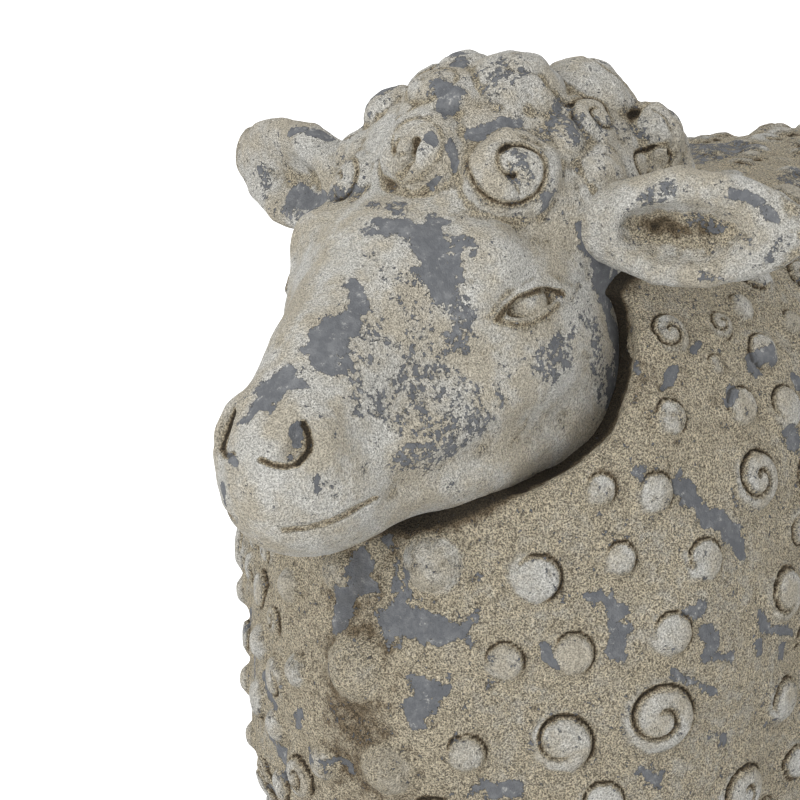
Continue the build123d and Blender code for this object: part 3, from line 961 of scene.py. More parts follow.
# Patches where the crust has come off: strength, then pixels with a radius in pixels
seen_patches = (
    (
        1.0,
        (378, 220, 9), (402, 226, 14), (425, 232, 20), (441, 246, 20),
        (438, 268, 17), (446, 288, 10),
    ),
    (0.46, (440, 290, 17), (458, 318, 15), (452, 338, 14)),
    (0.29, (400, 290, 28), (425, 350, 40), (420, 420, 34), (470, 400, 26)),
    (0.33, (345, 360, 18), (365, 340, 16)),
    (
        1.0,
        (358, 290, 6), (352, 305, 9), (341, 325, 12), (325, 342, 15),
        (322, 358, 12), (333, 366, 9),
    ),
    (0.8, (300, 352, 6), (310, 346, 7)),
    (1.0, (258, 403, 13), (274, 394, 17), (288, 384, 13)),
    (0.9, (299, 424, 5), (297, 442, 6), (290, 456, 5)),
    (0.33, (412, 330, 22), (440, 352, 24), (418, 376, 22)),
    (0.38, (358, 394, 16), (380, 406, 18)),
    (0.42, (404, 452, 17), (430, 444, 20), (456, 432, 20), (482, 418, 15), (505, 405, 9)),
    (0.46, (545, 364, 13), (560, 350, 15), (570, 340, 9)),
    (
        1.0,
        (586, 232, 8), (598, 256, 12), (604, 290, 19), (614, 330, 17),
        (620, 365, 14), (610, 400, 11),
    ),
    (0.40, (590, 320, 14), (600, 400, 14)),
    (1.0, (222, 490, 5), (224, 502, 5)),
    (0.8, (229, 455, 3), (236, 463, 3)),
    (0.9, (315, 480, 5), (318, 490, 3)),
    (1.0, (546, 198, 6), (543, 207, 5)),
    (0.44, (312, 205, 11), (330, 195, 13), (352, 190, 9)),
    (0.40, (372, 204, 10), (400, 205, 10)),
    (1.0, (448, 52, 9), (464, 60, 8)),
    (1.0, (437, 88, 9), (450, 99, 13), (446, 113, 10)),
    (0.46, (372, 98, 9), (392, 84, 9)),
    (0.8, (475, 133, 6), (492, 126, 6), (520, 124, 5)),
    (0.50, (548, 128, 12), (566, 112, 13), (574, 138, 12)),
    (1.0, (432, 137, 5), (434, 141, 5)),
    (1.0, (452, 150, 6), (456, 164, 6)),
    (0.8, (437, 180, 4), (432, 186, 4)),
    (0.42, (518, 155, 9), (524, 176, 9)),
    (0.36, (480, 78, 12), (510, 70, 14)),
    (0.36, (600, 120, 10), (640, 128, 10)),
)


# Raggedness of the patches, by wide and fine waves, and the width of their edge, in shares of
# their mean radius
wave_shares = (0.9, 0.7)
edge_shares = (-0.70, 0.75)


def patch_distance(points, spots, hit):
    """How far points lie outside a patch of pixels and radii, and its mean radius."""
    centres = [hit(px, py) for px, py, _ in spots]
    radii = np.array([radius for _, _, radius in spots]) * millimetres_per_pixel
    return tube(centres, radii).distance(*points.T), radii.mean()


def patch_bias(clay, points, patches):
    """Bias towards bare cement in the patches given by pixels."""
    bias = np.zeros(len(points))
    wide_waves = lumps(points, 7.0, 51)
    fine_waves = lumps(points, 3.2, 52)
    for strength, *spots in patches:
        away, edge = patch_distance(points, spots, clay.hit)
        away = away / edge + wave_shares[0] * wide_waves + wave_shares[1] * fine_waves
        bias = np.maximum(bias, strength * (1 - smooth_step(away, *edge_shares)))
    return bias


# Depth of the spiral groove on the locks: by their place in seen_locks, and on the others
lock_depths = {0: 0.5, 1: 1.5, 6: 0.6, 9: 0.8}
seen_lock_depth = 0.25
hidden_lock_depth = 1.3
lock_curl_share = 0.92
lock_coils = 1.6
lock_edge_shares = (0.95, 1.25)
# Painted shade and dirt in the spiral grooves of the locks
lock_groove_shade_and_dirt = 0.9
tuft_layers = ((11.0, 1.3), (5.5, 0.9))
wool_wear = 0.10
face_lump_height = 0.35
# Dirt and painted shade along the creases and against the fleece: the gaps where it is full and
# where it ends
line_edge = (-0.4, 1.2)
fleece_edge = (-1.0, 3.0)
fleece_crevice_shade_and_dirt = 0.3
# Creases of the mouth, nostrils and eyelids, painted dark with shade and dirt: pixels, radius in
# millimetres and strength
crease_shade_lines = (
    (mouth_line, 0.2, 1.25),
    (nostril_slot, 1.2, 1.5),
    (nostril_floor, 0.8, 1.3),
    (((497, 320), (508, 307), (520, 297), (535, 291), (550, 289), (562, 294)), 1.0, 1.25),
    (((501, 322), (516, 325), (531, 324), (546, 317), (558, 306)), 0.9, 0.95),
)


def make_head():
    """Head with its wool cap."""
    points, quads, normals = head_clay.surface()
    shaped, _ = shape_surface(points, normals, [], 0.0, face_lump_height, 3)
    on_wool = np.zeros(len(points))
    for centre, radius, _, _ in lock_places:
        away = np.linalg.norm(points - centre, axis=1) / radius
        on_wool = np.maximum(on_wool, 1 - smooth_step(away, *lock_edge_shares))
    grooved = np.zeros(len(points))
    raised = np.zeros(len(points))
    for number, (centre, radius, turn, hand) in enumerate(lock_places):
        depth = seen_lock_depth if number < len(seen_locks) else hidden_lock_depth
        depth = lock_depths.get(number, depth)
        outward = unit(centre - wool_centre)
        wide = radius * lock_curl_share
        top = centre + outward * wide * 0.2
        near, _, groove = curl_relief(points, top, outward, wide, turn, hand, 1.0, lock_coils)
        groove = groove * on_wool[near]
        raised[near] = np.minimum(raised[near], -depth * groove)
        grooved[near] = np.maximum(grooved[near], min(depth, 1.0) * groove)
    tufts = layered_lumps(points, tuft_layers, 41)
    shaped = shaped + normals * (raised + on_wool * tufts)[:, None]
    dirt_and_shade = np.clip(cavity(shaped, quads, 14), 0, 1) + lock_groove_shade_and_dirt * grooved
    # Painted shade and dirt along the creases of the mouth, nostrils and eyelids
    for row, radius, strength in crease_shade_lines:
        line = head_clay.line(row)
        for side in (1, -1):
            away = tube(line * (side, 1, 1), radius).distance(*points.T)
            dirt_and_shade = np.maximum(dirt_and_shade, strength * (1 - smooth_step(away, *line_edge)))
    # Painted shade, with some dirt, on the head where it lies against the fleece
    fleece_gap = fleece_front.sample(points)
    dirt_and_shade = dirt_and_shade + fleece_crevice_shade_and_dirt * (1 - smooth_step(fleece_gap, *fleece_edge))
    bare = patch_bias(head_clay, points, seen_patches)
    bare = np.maximum(bare, wool_wear * on_wool)
    make_piece("head", shaped, quads, "head_casting", bare, dirt_and_shade)


# The same for the fleece
fleece_patches = (
    (1.0, (378, 536, 7), (386, 541, 7)),
    (1.0, (363, 560, 9), (362, 580, 9)),
    (1.0, (346, 600, 9), (338, 622, 10)),
    (1.0, (404, 580, 11), (404, 606, 13), (392, 626, 14), (415, 628, 13), (456, 628, 10)),
    (1.0, (446, 688, 8), (422, 684, 11), (418, 712, 12)),
    (0.9, (476, 790, 8), (512, 788, 8)),
    (0.9, (251, 612, 4), (251, 630, 4)),
    (0.9, (255, 655, 4), (255, 678, 4)),
    (1.0, (266, 676, 6), (278, 700, 9)),
    (0.9, (271, 736, 5), (284, 756, 8), (288, 774, 9)),
    (0.8, (300, 712, 5), (300, 724, 5)),
    (0.8, (308, 748, 4), (350, 764, 4), (350, 772, 4)),
    (0.8, (259, 790, 5), (260, 798, 5)),
    (0.9, (335, 669, 5), (335, 673, 5)),
    (1.0, (590, 596, 6), (605, 600, 9), (617, 612, 9)),
    (1.0, (622, 630, 8), (614, 654, 8)),
    (0.9, (543, 645, 4), (548, 655, 5), (556, 667, 4)),
    (0.9, (684, 609, 7), (698, 610, 7)),
    (0.9, (706, 634, 7), (716, 642, 7)),
    (0.8, (703, 655, 5), (730, 658, 6)),
    (0.8, (712, 738, 7), (722, 738, 6)),
    (0.8, (672, 673, 4), (713, 690, 4)),
    (0.9, (760, 612, 5), (768, 630, 5), (790, 632, 5)),
    (0.9, (782, 646, 6), (782, 654, 6)),
    (0.9, (760, 646, 5), (760, 653, 5)),
    (0.9, (470, 640, 4), (471, 645, 4)),
    (1.0, (634, 368, 6), (639, 372, 6)),
    (1.0, (678, 366, 4), (670, 376, 5), (664, 388, 4)),
    (0.9, (694, 350, 5), (700, 345, 4)),
    (1.0, (754, 364, 9), (764, 358, 9)),
    (0.9, (730, 392, 4), (726, 403, 4)),
    (1.0, (794, 376, 5), (798, 384, 5)),
    (1.0, (786, 430, 7), (797, 442, 8)),
    (1.0, (680, 474, 7), (690, 492, 10), (704, 520, 9)),
    (1.0, (716, 520, 8), (732, 534, 10), (740, 556, 7)),
    (0.8, (636, 470, 5), (640, 478, 4)),
    (0.8, (640, 770, 7), (655, 778, 6)),
)


# Relief of the fleece, then its dirt and painted shade in the crevice round the head, by strength
# and the gaps where it is full and where it ends, and how far from the photographed side the
# seeded wear begins
fleece_relief_share = 0.42
fleece_lump_height = 0.9
head_crevice_shade_and_dirt = ((0.9, 1.0, 11.0), (0.22, 4.0, 28.0))
seen_side_edge = (130.0, 190.0)
# Least dirt and wear of the fleece, dirt of its dips with the most it reaches, and seeded wear
least_finish = 0.06
dip_dirt = 0.35
most_dip_dirt = 0.20
seeded_wear = 0.42
seeded_wear_size = 26.0
seeded_wear_edge = (0.30, 0.62)


def make_fleece():
    """Left and right halves of the fleece, each with a front and a back."""
    curls = fleece_curls()
    seen_middle = np.mean([curl[0] for curl in curls[: len(seen_curls)]], axis=0)
    for part, clay in (("front", fleece_front), ("back", fleece_back)):
        points, quads, normals = clay.surface()
        shaped, grooved = shape_surface(
            points, normals, curls, fleece_relief_share, fleece_lump_height, 11
        )
        dips = np.clip(cavity(shaped, quads, 12) * dip_dirt, 0, most_dip_dirt)
        dirt_and_shade = least_finish + dips + grooved
        # Dirt and painted shade on the fleece in the crevice round the head, strongest against it
        head_gap = head_clay.sample(points)
        for strength, low, high in head_crevice_shade_and_dirt:
            dirt_and_shade = dirt_and_shade + strength * (1 - smooth_step(head_gap, low, high)) * (points[:, 1] < 0)
        hidden = smooth_step(np.linalg.norm(points - seen_middle, axis=1), *seen_side_edge)
        worn = smooth_step(lumps(points, seeded_wear_size, 5), *seeded_wear_edge)
        random_bare = least_finish + hidden * seeded_wear * worn
        bare = np.maximum(patch_bias(fleece_front, points, fleece_patches), random_bare)
        middle = points[quads].mean(1)
        if part == "front":
            inside = middle[:, 1] < fleece_seam + fleece_overlap
        else:
            inside = middle[:, 1] > fleece_seam - fleece_overlap
        for name, half in (("left", middle[:, 0] >= 0), ("right", middle[:, 0] < 0)):
            used, renumbered = np.unique(quads[half & inside], return_inverse=True)
            make_piece(
                "fleece_" + name + "_" + part,
                shaped[used],
                renumbered.reshape(-1, 4),
                "fleece_shell_" + name,
                bare[used],
                dirt_and_shade[used],
            )


# Ears
ear_root = head_place(58.0, -2.0, 391.0)
ear_sweep = math.radians(13.0)
ear_lifts = {"left": math.radians(3.0), "right": math.radians(8.0)}
# How much shallower the hollow of each ear is
ear_fills = {"left": 0.0, "right": 3.0}


def ear_directions(lift):
    """Directions out along the left ear, up across it and ahead of it."""
    level = math.cos(lift)
    out = np.array((math.cos(ear_sweep) * level, math.sin(ear_sweep) * level, math.sin(lift)))
    up = unit(np.cross(out, np.cross((0.0, 0.0, 1.0), out)))
    return np.array([out, up, np.cross(out, up)])


# Slices of the ear: how far out, half height, half thickness and rise
ear_sections = (
    (2.0, 13.0, 12.0, 0.0),
    (16.0, 18.0, 10.5, 1.0),
    (34.0, 22.0, 8.5, 1.5),
    (54.0, 20.0, 7.0, 0.5),
    (68.0, 14.0, 5.5, -0.5),
)
# Rolled rims: how far out, up and ahead
upper_rim = ((14, 12, 6), (30, 17, 7), (48, 17, 6), (64, 11, 3))
lower_rim = ((12, -11, 6), (26, -16, 8), (44, -17, 7), (62, -12, 3))
rim_radii = (3.6, 4.8, 4.6, 3.2)
ear_mass_length = 17.0
ear_mass_blend = 10.0
rim_blend = 7.0
ear_hollow_blend = 4.0
# Masses cut out for the hollow: how far out, up and ahead, then radii
ear_hollows = ((38.0, -1.0, 11.0, 25.0, 11.0, 10.0), (25.0, 1.0, 9.0, 12.0, 7.0, 9.0))


def sculpt_ear(step, axes, shallow):
    """Left ear: a thick leaf with rolled rims and a scooped hollow."""
    clay = Clay(ear_root - (22.0, 34.0, 36.0), ear_root + (90.0, 46.0, 46.0), step)
    for out, height, depth, up in ear_sections:
        centre = ear_root + (out, up, 0.0) @ axes
        clay.add(ellipsoid(centre, (ear_mass_length, height, depth), axes), ear_mass_blend)
    for rim in (upper_rim, lower_rim):
        clay.add(tube(ear_root + rim @ axes, rim_radii), rim_blend)
    for out, up, ahead, *radii in ear_hollows:
        centre = ear_root + (out, up, ahead + shallow) @ axes
        clay.cut(ellipsoid(centre, radii, axes), ear_hollow_blend)
    return clay


# Lumps of the ears, painted shade and dirt of their hollow by how far ahead and up it ends, and
# their wear
ear_layers = ((9.0, 0.5), (4.0, 0.3))
hollow_edge = (-3.0, 7.0)
hollow_half_height = 15.0
hollow_shade_and_dirt = 1.35
ear_wear = 0.05
# Patches of each ear, given like those of the head
ear_wave = 1.2
ear_patch_edge = (-1.0, 1.4)
ear_patches = {
    "left": (
        (1.0, (728, 188, 5), (738, 193, 5)),
        (0.46, (690, 225, 10), (712, 230, 9)),
        (0.40, (640, 200, 8), (660, 190, 10)),
        (0.8, (752, 203, 4), (764, 208, 5), (773, 216, 4)),
        (0.4, (775, 262, 9), (786, 250, 8)),
        (0.35, (700, 282, 7), (715, 283, 6)),
    ),
    "right": (
        (1.0, (290, 192, 12), (306, 198, 12), (318, 198, 8)),
        (0.6, (280, 208, 8), (300, 214, 6)),
        (0.9, (286, 128, 5), (300, 124, 6)),
        (0.9, (312, 126, 7), (328, 132, 7)),
        (0.4, (256, 170, 8), (262, 190, 8)),
    ),
}


def make_ear(name, side):
    """One ear with its own worn patches."""
    axes = ear_directions(ear_lifts[name])
    clay = sculpt_ear(ear_step, axes, ear_fills[name])
    points, quads, normals = clay.surface()
    shaped = points + normals * layered_lumps(points, ear_layers, 31)[:, None]
    _, up, ahead = ((shaped - ear_root) @ axes.T).T
    facing = np.clip(normals @ axes[2], 0, 1)
    # Painted shade and dirt in the hollow, on the faces that look ahead
    hollow = (1 - smooth_step(ahead, *hollow_edge)) * (np.abs(up) < hollow_half_height) * facing
    dirt_and_shade = np.clip(cavity(shaped, quads, 14) * 0.9, 0, 1) + hollow_shade_and_dirt * hollow
    if side < 0:
        shaped = shaped * (-1, 1, 1)
        quads = quads[:, ::-1]
    bare = np.full(len(points), ear_wear)
    for strength, *spots in ear_patches[name]:
        away, _ = patch_distance(shaped, spots, lambda px, py: seen_point(shaped, px, py))
        away = away + ear_wave * lumps(shaped, 4.0, 51)
        bare = np.maximum(bare, strength * (1 - smooth_step(away, *ear_patch_edge)))
    make_piece(name + "_ear", shaped, quads, "ear_" + name, bare, dirt_and_shade)


def seen_point(points, px, py):
    """The point of a mesh that shows at a pixel of the photograph."""
    ray = pixel_ray(px, py)
    gaps = points - camera_place
    along = gaps @ ray
    away = np.linalg.norm(gaps - along[:, None] * ray, axis=1)
    close = np.nonzero(away < away.min() + 2.5)[0]
    return points[close[np.argmin(along[close])]]


# Legs
leg_rise = 150.0
leg_bow = 112.0
# Rods of a leg: the toes by side offset, shift along the body, height and radius, and the others
# by shift, height and radius
hoof_toes = ((-9.5, -12.0, 9.0, 13.5), (-9.0, -4.0, 20.0, 14.5))
pastern = ((3.0, 10.0, 17.0), (2.0, 26.0, 18.5))
shank = ((1.0, 26.0, 19.0), (1.5, 44.0, 21.0), (1.0, 58.0, 25.0))
thigh = ((2.0, 76.0, 30.0), (0.0, 96.0, 38.0), (0.0, 116.0, 42.0))
# Heights between which a leg is woolly
wool_levels = (72.0, 132.0)
leg_leans = {"front_left": 0.0, "front_right": 0.0, "rear_left": 7.0, "rear_right": 7.0}
# Relief and curls of legs and tail
hidden_lump_height = 0.6
leg_relief_share = 0.36
leg_places_tried = 2500
leg_curl_radii = (9.0, 12.5)
leg_curl_spacing = 1.15
leg_curl_coils = (1.0, 1.8)
tail_relief_share = 0.34
tail_places_tried = 1500
tail_curl_radii = (9.0, 12.0)
tail_curl_spacing = 1.1
tail_curl_coils = 1.5


def ground_distance(x, y, z):
    """Half space under the floor."""
    return z + 0 * x + 0 * y


def sculpt_leg(x, y, lean, step):
    """One short leg on a cloven hoof."""
    clay = Clay((x - 58.0, y - 62.0, -4.0), (x + 58.0, y + 62.0, leg_rise), step)
    for side in (1, -1):
        toes = [(x + side * place[0], y + place[1], place[2]) for place in hoof_toes]
        clay.add(tube(toes, [place[3] for place in hoof_toes]), 3.0 if side == -1 else 0.0)
    for chain, width in ((pastern, 5.0), (shank, 6.0), (thigh, 12.0)):
        places = []
        for shift, z, _ in chain:
            places.append((x, y + shift + lean * math.sin(math.pi * z / leg_bow), z))
        clay.add(tube(places, [radius for _, _, radius in chain]), width)
    cleft = [(x, y - 26.0, 2.0), (x, y - 20.0, 14.0), (x, y - 19.0, 26.0)]
    clay.cut(tube(cleft, (3.5, 3.5, 1.5)), 1.5)
    clay.cut(Form(ground_distance, (x, y, 0.0), 90.0), 1.5)
    return clay


def hidden_wear_dirt_and_shade(points, shaped, quads, grooved, seed):
    """Wear, dirt and painted groove shade of a casting that the photograph doesn't show."""
    bare = 0.08 + 0.32 * smooth_step(lumps(points, 30.0, seed), 0.2, 0.9)
    return bare, np.clip(cavity(shaped, quads, 10) * 0.8, 0, 1) + 0.4 * grooved


def make_legs():
    """Four legs with curls down to the knee."""
    random = np.random.default_rng(5)
    for name, lean in leg_leans.items():
        low, high = box_mm("leg_rod_" + name)
        x, y = (low[:2] + high[:2]) / 2
        clay = sculpt_leg(x, y, lean, leg_step)
        points, quads, normals = clay.surface()
        curls = scatter_curls(
            points,
            leg_places_tried,
            leg_curl_radii,
            leg_curl_spacing,
            lambda place: wool_levels[0] < place[2] < wool_levels[1],
            lambda: random.uniform(*leg_curl_coils),
            random,
        )
        steady = smooth_step(points[:, 2], 0.5, 4.0)
        shaped, grooved = shape_surface(
            points, normals, curls, leg_relief_share, hidden_lump_height, 17
        )
        shaped = points + (shaped - points) * steady[:, None]
        bare, dirt_and_shade = hidden_wear_dirt_and_shade(points, shaped, quads, grooved, 9)
        # Darker within 16 mm of the floor
        dirt_and_shade = dirt_and_shade + 0.5 * (1 - smooth_step(points[:, 2], 0.0, 16.0))
        node = "leg_" + name
        make_piece(node + "_cast", shaped, quads, node, bare, dirt_and_shade)


# Tail
tail_low, tail_high = box_mm("tail")
tail_radii = (12.0, 16.0, 18.0, 16.0, 10.0)
tail_reach_shares = (0.04, 0.24, 0.52, 0.78, 0.95)
# How far the tail stays ahead of the back of its box, and how far it stands off the rump
tail_inset = 15.0
tail_offset = 3.0


def make_tail():
    """Woolly tail that hangs down the rump."""
    depth = tail_high[1] - tail_inset
    places = []
    for share in tail_reach_shares:
        level = tail_high[2] - share * (tail_high[2] - tail_low[2])
        drop = min(max(level - crown_level, 0.0), crown_radius)
        rump = body_middle + end_centre + math.sqrt(crown_radius**2 - drop**2)
        places.append((0.0, min(rump + tail_offset, depth), level))
    clay = Clay(tail_low - (10.0, 50.0, 8.0), tail_high + (10.0, 14.0, 12.0), tail_step)
    clay.add(tube(places, tail_radii), 0.0)
    points, quads, normals = clay.surface()
    random = np.random.default_rng(8)
    woolly_from = body_middle + end_centre + 60.0
    curls = scatter_curls(
        points,
        tail_places_tried,
        tail_curl_radii,
        tail_curl_spacing,
        lambda place: place[1] > woolly_from,
        lambda: tail_curl_coils,
        random,
    )
    shaped, grooved = shape_surface(
        points, normals, curls, tail_relief_share, hidden_lump_height, 19
    )
    bare, dirt_and_shade = hidden_wear_dirt_and_shade(points, shaped, quads, grooved, 14)
    make_piece("tail_cast", shaped, quads, "tail", bare, dirt_and_shade)


make_head()
make_fleece()
make_ear("left", 1)
make_ear("right", -1)
make_legs()
make_tail()


class Shader:
    """Builds the nodes of one material."""

    def __init__(self, name):
        self.material = bpy.data.materials.new(name)
        self.material.use_nodes = True
        self.tree = self.material.node_tree
        self.surface = self.tree.nodes["Principled BSDF"]
        self.place = self.node("ShaderNodeTexCoord").outputs["Object"]

    def feed(self, socket, value):
        """Links a socket to another one, or sets its value."""
        if isinstance(value, bpy.types.NodeSocket):
            self.tree.links.new(value, socket)
        else:
            socket.default_value = value

    def node(self, kind, inputs=None, **settings):
        """New node with its settings and its inputs."""
        made = self.tree.nodes.new(kind)
        for name, value in settings.items():
            setattr(made, name, value)
        for name, value in (inputs or {}).items():
            self.feed(made.inputs[name], value)
        return made

    def noise(self, scale, detail=2.0, roughness=0.5, distortion=0.0):
        """Noise at a scale in cycles for each metre."""
        inputs = {
            "Vector": self.place,
            "Scale": scale,
            "Detail": detail,
            "Roughness": roughness,
            "Distortion": distortion,
        }
        return self.node("ShaderNodeTexNoise", inputs).outputs[0]

    def sum(self, first, second, kind="ADD"):
        return self.node("ShaderNodeMath", {0: first, 1: second}, operation=kind).outputs[0]

    def times(self, first, second):
        return self.sum(first, second, "MULTIPLY")

    def ramp(self, value, low, high, out_low=0.0, out_high=1.0):
        """Value mapped smoothly from one range to another."""
        inputs = {
            "Value": value,
            "From Min": low,
            "From Max": high,
            "To Min": out_low,
            "To Max": out_high,
        }
        made = self.node("ShaderNodeMapRange", inputs, interpolation_type="SMOOTHSTEP")
        return made.outputs["Result"]

    def mix(self, share, first, second, kind="MIX"):
        """Two colours mixed by a share."""
        inputs = {0: share, 6: first, 7: second}
        made = self.node("ShaderNodeMix", inputs, data_type="RGBA", blend_type=kind)
        return made.outputs[2]

    def attribute(self, name):
        return self.node("ShaderNodeAttribute", attribute_name=name).outputs["Fac"]

    def bump(self, height, distance, strength=1.0, under=None):
        inputs = {"Height": height, "Distance": distance, "Strength": strength}
        if under is not None:
            inputs["Normal"] = under
        return self.node("ShaderNodeBump", inputs).outputs["Normal"]

    def set(self, name, value):
        """Links or sets an input of the surface shader."""
        self.feed(self.surface.inputs[name], value)


def colour(red, green, blue):
    """Colour as seen on a screen, from 0 to 255, as the shader needs it."""
    parts = [part / 255 for part in (red, green, blue)]
    return [((part + 0.055) / 1.055) ** 2.4 for part in parts] + [1.0]


cream = colour(208, 206, 199)
sand = colour(195, 187, 170)
pale_cream = colour(222, 221, 216)
tan = colour(206, 194, 169)
# The dark brown and the near black also serve as painted shade in creases and grooves
dirt_and_shade_brown = colour(128, 112, 88)
crack_and_shade_dark = colour(44, 39, 31)
slate = colour(101, 103, 106)
slate_dark = colour(84, 86, 90)
slate_dust = colour(130, 131, 132)

# Scales of the cement's noises, in cycles for each metre
broad_scale = 34.0
ragged_scale = 170.0
speckle_scale = 520.0
grain_scale = 1500.0
# How much each noise and the piece's wear count where the crust flakes off, and the sums at which
# it starts to be gone and is gone
broad_weight = 0.40
ragged_weight = 1.4
speckle_weight = 1.8
wear_weight = 0.95
flaked_from = 2.16
flaked_fully = 2.21


def weathered_cement():
    """Cream sandy crust, flaked off slate grey cement, with dirt and painted shade in its
    recesses.
    """
    s = Shader("weathered_cement")
    bare = s.attribute("bare")
    dirt_and_shade = s.attribute("dirt_and_shade")
    broad = s.noise(broad_scale, 6.0, 0.6, 0.3)
    ragged = s.noise(ragged_scale, 6.0, 0.66)
    speckle = s.noise(speckle_scale, 3.0, 0.7)
    grain = s.noise(grain_scale, 1.5, 0.6)
    score = s.sum(s.times(broad, broad_weight), s.times(ragged, ragged_weight))
    score = s.sum(score, s.times(speckle, speckle_weight))
    score = s.sum(score, s.times(bare, wear_weight))
    flaked = s.ramp(score, flaked_from, flaked_fully)
    # Crust: sand and cream in clouds, then soil with painted shade in the recesses
    crust = s.mix(s.ramp(s.noise(42.0, 5.0, 0.6), 0.38, 0.62), sand, cream)
    crust = s.mix(s.ramp(s.noise(85.0, 4.0, 0.6), 0.50, 0.68, 0.0, 0.6), crust, pale_cream)
    soil_and_shade = s.sum(dirt_and_shade, s.ramp(ragged, 0.35, 0.70, -0.20, 0.22))
    deep = s.ramp(soil_and_shade, 0.62, 1.20, 0.0, 0.95)
    soil_and_shade = s.ramp(soil_and_shade, 0.05, 0.62, 0.0, 0.95)
    crust = s.mix(deep, s.mix(soil_and_shade, crust, tan), dirt_and_shade_brown)
    # Sand grains, stronger where there is soil, dark pits, and near-black painted shade in the
    # deepest creases
    rough = s.ramp(soil_and_shade, 0.0, 0.80, 0.60, 1.10)
    light = s.sum(1.0, s.times(s.ramp(grain, 0.34, 0.66, -0.52, 0.50), rough))
    grey_light = s.node("ShaderNodeCombineColor", {0: light, 1: light, 2: light}).outputs[0]
    crust = s.mix(1.0, crust, grey_light, "MULTIPLY")
    pits = s.ramp(s.noise(620.0, 2.0, 0.5), 0.58, 0.68)
    pits = s.times(pits, s.ramp(soil_and_shade, 0.20, 0.90, 0.04, 0.42))
    crust = s.mix(pits, crust, crack_and_shade_dark)
    # Near-black painted shade where dirt and shade pass 1.1: creases, grooves and crevices
    crust = s.mix(s.ramp(dirt_and_shade, 1.10, 1.50, 0.0, 0.85), crust, crack_and_shade_dark)
    # Slate grey cement under the crust, with dust and crumbs left on it
    worn = s.mix(s.ramp(s.noise(60.0, 6.0, 0.7), 0.40, 0.75, 0.0, 0.7), slate, slate_dust)
    worn = s.mix(s.ramp(s.noise(300.0, 4.0, 0.6), 0.44, 0.60, 0.55, 0.0), worn, slate_dark)
    dust = s.ramp(s.noise(240.0, 6.0, 0.8), 0.58, 0.66, 0.0, 0.45)
    worn = s.mix(dust, worn, cream)
    # Painted shade and dirt darken the bare cement in creases
    worn = s.mix(s.ramp(dirt_and_shade, 0.7, 1.5, 0.0, 0.7), worn, crack_and_shade_dark)
    # The crust stands up from the cement with a small step
    s.set("Base Color", s.mix(flaked, crust, worn))
    s.set("Roughness", s.ramp(flaked, 0.0, 1.0, 0.95, 0.78))
    sandy = s.times(s.sum(grain, speckle), s.times(rough, s.ramp(flaked, 0.0, 1.0, 1.0, 0.12)))
    step = s.bump(s.ramp(flaked, 0.0, 1.0, 1.0, 0.0), 0.0007, 0.9)
    s.set("Normal", s.bump(sandy, 0.0048, 1.0, step))
    s.set("Specular IOR Level", 0.25)
    return s.material


def plain_mortar():
    """Grey fibre mortar with sand grains."""
    s = Shader("mortar")
    cloud = s.ramp(s.noise(90.0, 6.0, 0.6), 0.35, 0.65)
    tone = s.mix(cloud, colour(138, 134, 126), colour(164, 158, 146))
    grain = s.noise(1100.0, 2.0, 0.6)
    s.set("Base Color", s.mix(s.ramp(grain, 0.6, 0.75, 0.0, 0.6), tone, crack_and_shade_dark))
    s.set("Roughness", s.ramp(grain, 0.3, 0.7, 0.85, 0.97))
    s.set("Normal", s.bump(grain, 0.0008, 0.8))
    return s.material


def dull_steel():
    """Rolled steel with light rust."""
    s = Shader("steel")
    rust = s.noise(120.0, 6.0, 0.6)
    tone = s.mix(s.ramp(rust, 0.50, 0.66), colour(120, 116, 112), colour(112, 76, 52))
    s.set("Base Color", tone)
    s.set("Roughness", s.ramp(rust, 0.45, 0.7, 0.45, 0.85))
    s.set("Metallic", s.ramp(rust, 0.50, 0.66, 1.0, 0.1))
    s.set("Normal", s.bump(s.noise(900.0, 2.0), 0.0002, 0.5))
    return s.material


cement = weathered_cement()
mortar = plain_mortar()
steel = dull_steel()
for piece in PIECES.values():
    piece.data.materials.append(cement)
slots = {row["node"]: row["material_slot"] for row in frame["record"]["subparts"]}
for node, piece in frame["nodes"].items():
    kept = {"steel": steel, "mortar": mortar}.get(slots[node], cement)
    piece.data.materials.clear()
    piece.data.materials.append(kept)

# Camera
camera_data = bpy.data.cameras.new("camera")
camera_data.sensor_width = 36.0
camera_data.lens = camera_data.sensor_width * focal_pixels / photo_width
camera_data.clip_start = 0.05
camera_data.clip_end = 60.0
camera = add_object("camera", camera_data)
aim(camera, camera_right, camera_up, camera_back, camera_place * MM)
bpy.context.scene.camera = camera

# Floor
floor_size = 12.0
floor_mesh = bpy.data.meshes.new("floor")
corner = floor_size / 2
floor_mesh.from_pydata(
    [(x * corner, y * corner, 0) for x, y in ((-1, -1), (1, -1), (1, 1), (-1, 1))],
    [],
    [(0, 1, 2, 3)],
)
floor = add_object("floor", floor_mesh)


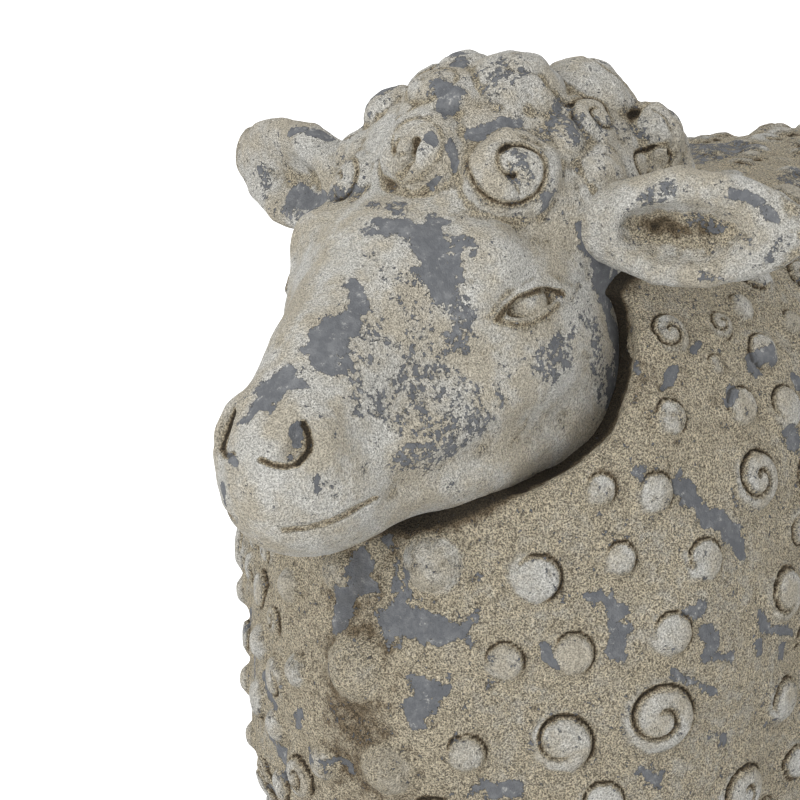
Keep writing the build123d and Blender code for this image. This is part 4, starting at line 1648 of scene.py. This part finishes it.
def seen_by_eye(tree):
    """1 for what the camera sees straight, in a mirror or through glass, and 0 for light."""
    path = tree.nodes.new("ShaderNodeLightPath")
    total = path.outputs["Is Camera Ray"]
    for name in ("Is Glossy Ray", "Is Transmission Ray"):
        joined = tree.nodes.new("ShaderNodeMath")
        joined.operation = "MAXIMUM"
        tree.links.new(total, joined.inputs[0])
        tree.links.new(path.outputs[name], joined.inputs[1])
        total = joined.outputs[0]
    return total


floor_tone = 0.86
floor_glow = 0.62


def pale_floor():
    """Matt white floor that keeps soft shadows."""
    s = Shader("pale_floor")
    s.set("Base Color", (floor_tone, floor_tone, floor_tone, 1.0))
    s.set("Roughness", 0.9)
    s.set("Specular IOR Level", 0.1)
    glow = s.node("ShaderNodeEmission", {"Strength": floor_glow}).outputs[0]
    dark = s.node("ShaderNodeEmission", {"Strength": 0.0}).outputs[0]
    lit = s.node("ShaderNodeMixShader", {0: seen_by_eye(s.tree), 1: dark, 2: glow}).outputs[0]
    both = s.node("ShaderNodeAddShader", {0: s.surface.outputs[0], 1: lit}).outputs[0]
    s.tree.links.new(both, s.tree.nodes["Material Output"].inputs["Surface"])
    return s.material


floor_mesh.materials.append(pale_floor())

# Light: a pale sky and one large soft lamp from the upper left of the camera
sky_light = 0.94
key_place = (0.10, -2.1, 1.05)
key_size = 1.6
key_watts = 25.0
lit_height = 0.3
world = bpy.data.worlds.new("studio")
bpy.context.scene.world = world
world.use_nodes = True
sky = world.node_tree.nodes["Background"]
sky.inputs["Color"].default_value = (1, 1, 1, 1)
sky_strength = world.node_tree.nodes.new("ShaderNodeMapRange")
world.node_tree.links.new(seen_by_eye(world.node_tree), sky_strength.inputs["Value"])
sky_strength.inputs["To Min"].default_value = sky_light
sky_strength.inputs["To Max"].default_value = 1.0
world.node_tree.links.new(sky_strength.outputs["Result"], sky.inputs["Strength"])


def soft_lamp(name, place, size, watts):
    """Square lamp that faces the middle of the sheep, all in metres."""
    data = bpy.data.lights.new(name, "AREA")
    data.size = size
    data.energy = watts
    back = unit(np.subtract(place, (0.0, body_middle * MM, lit_height)))
    aim(add_object(name, data), *view_axes(back), back, place)


soft_lamp("key", key_place, key_size, key_watts)
bpy.context.scene.view_settings.view_transform = "Standard"
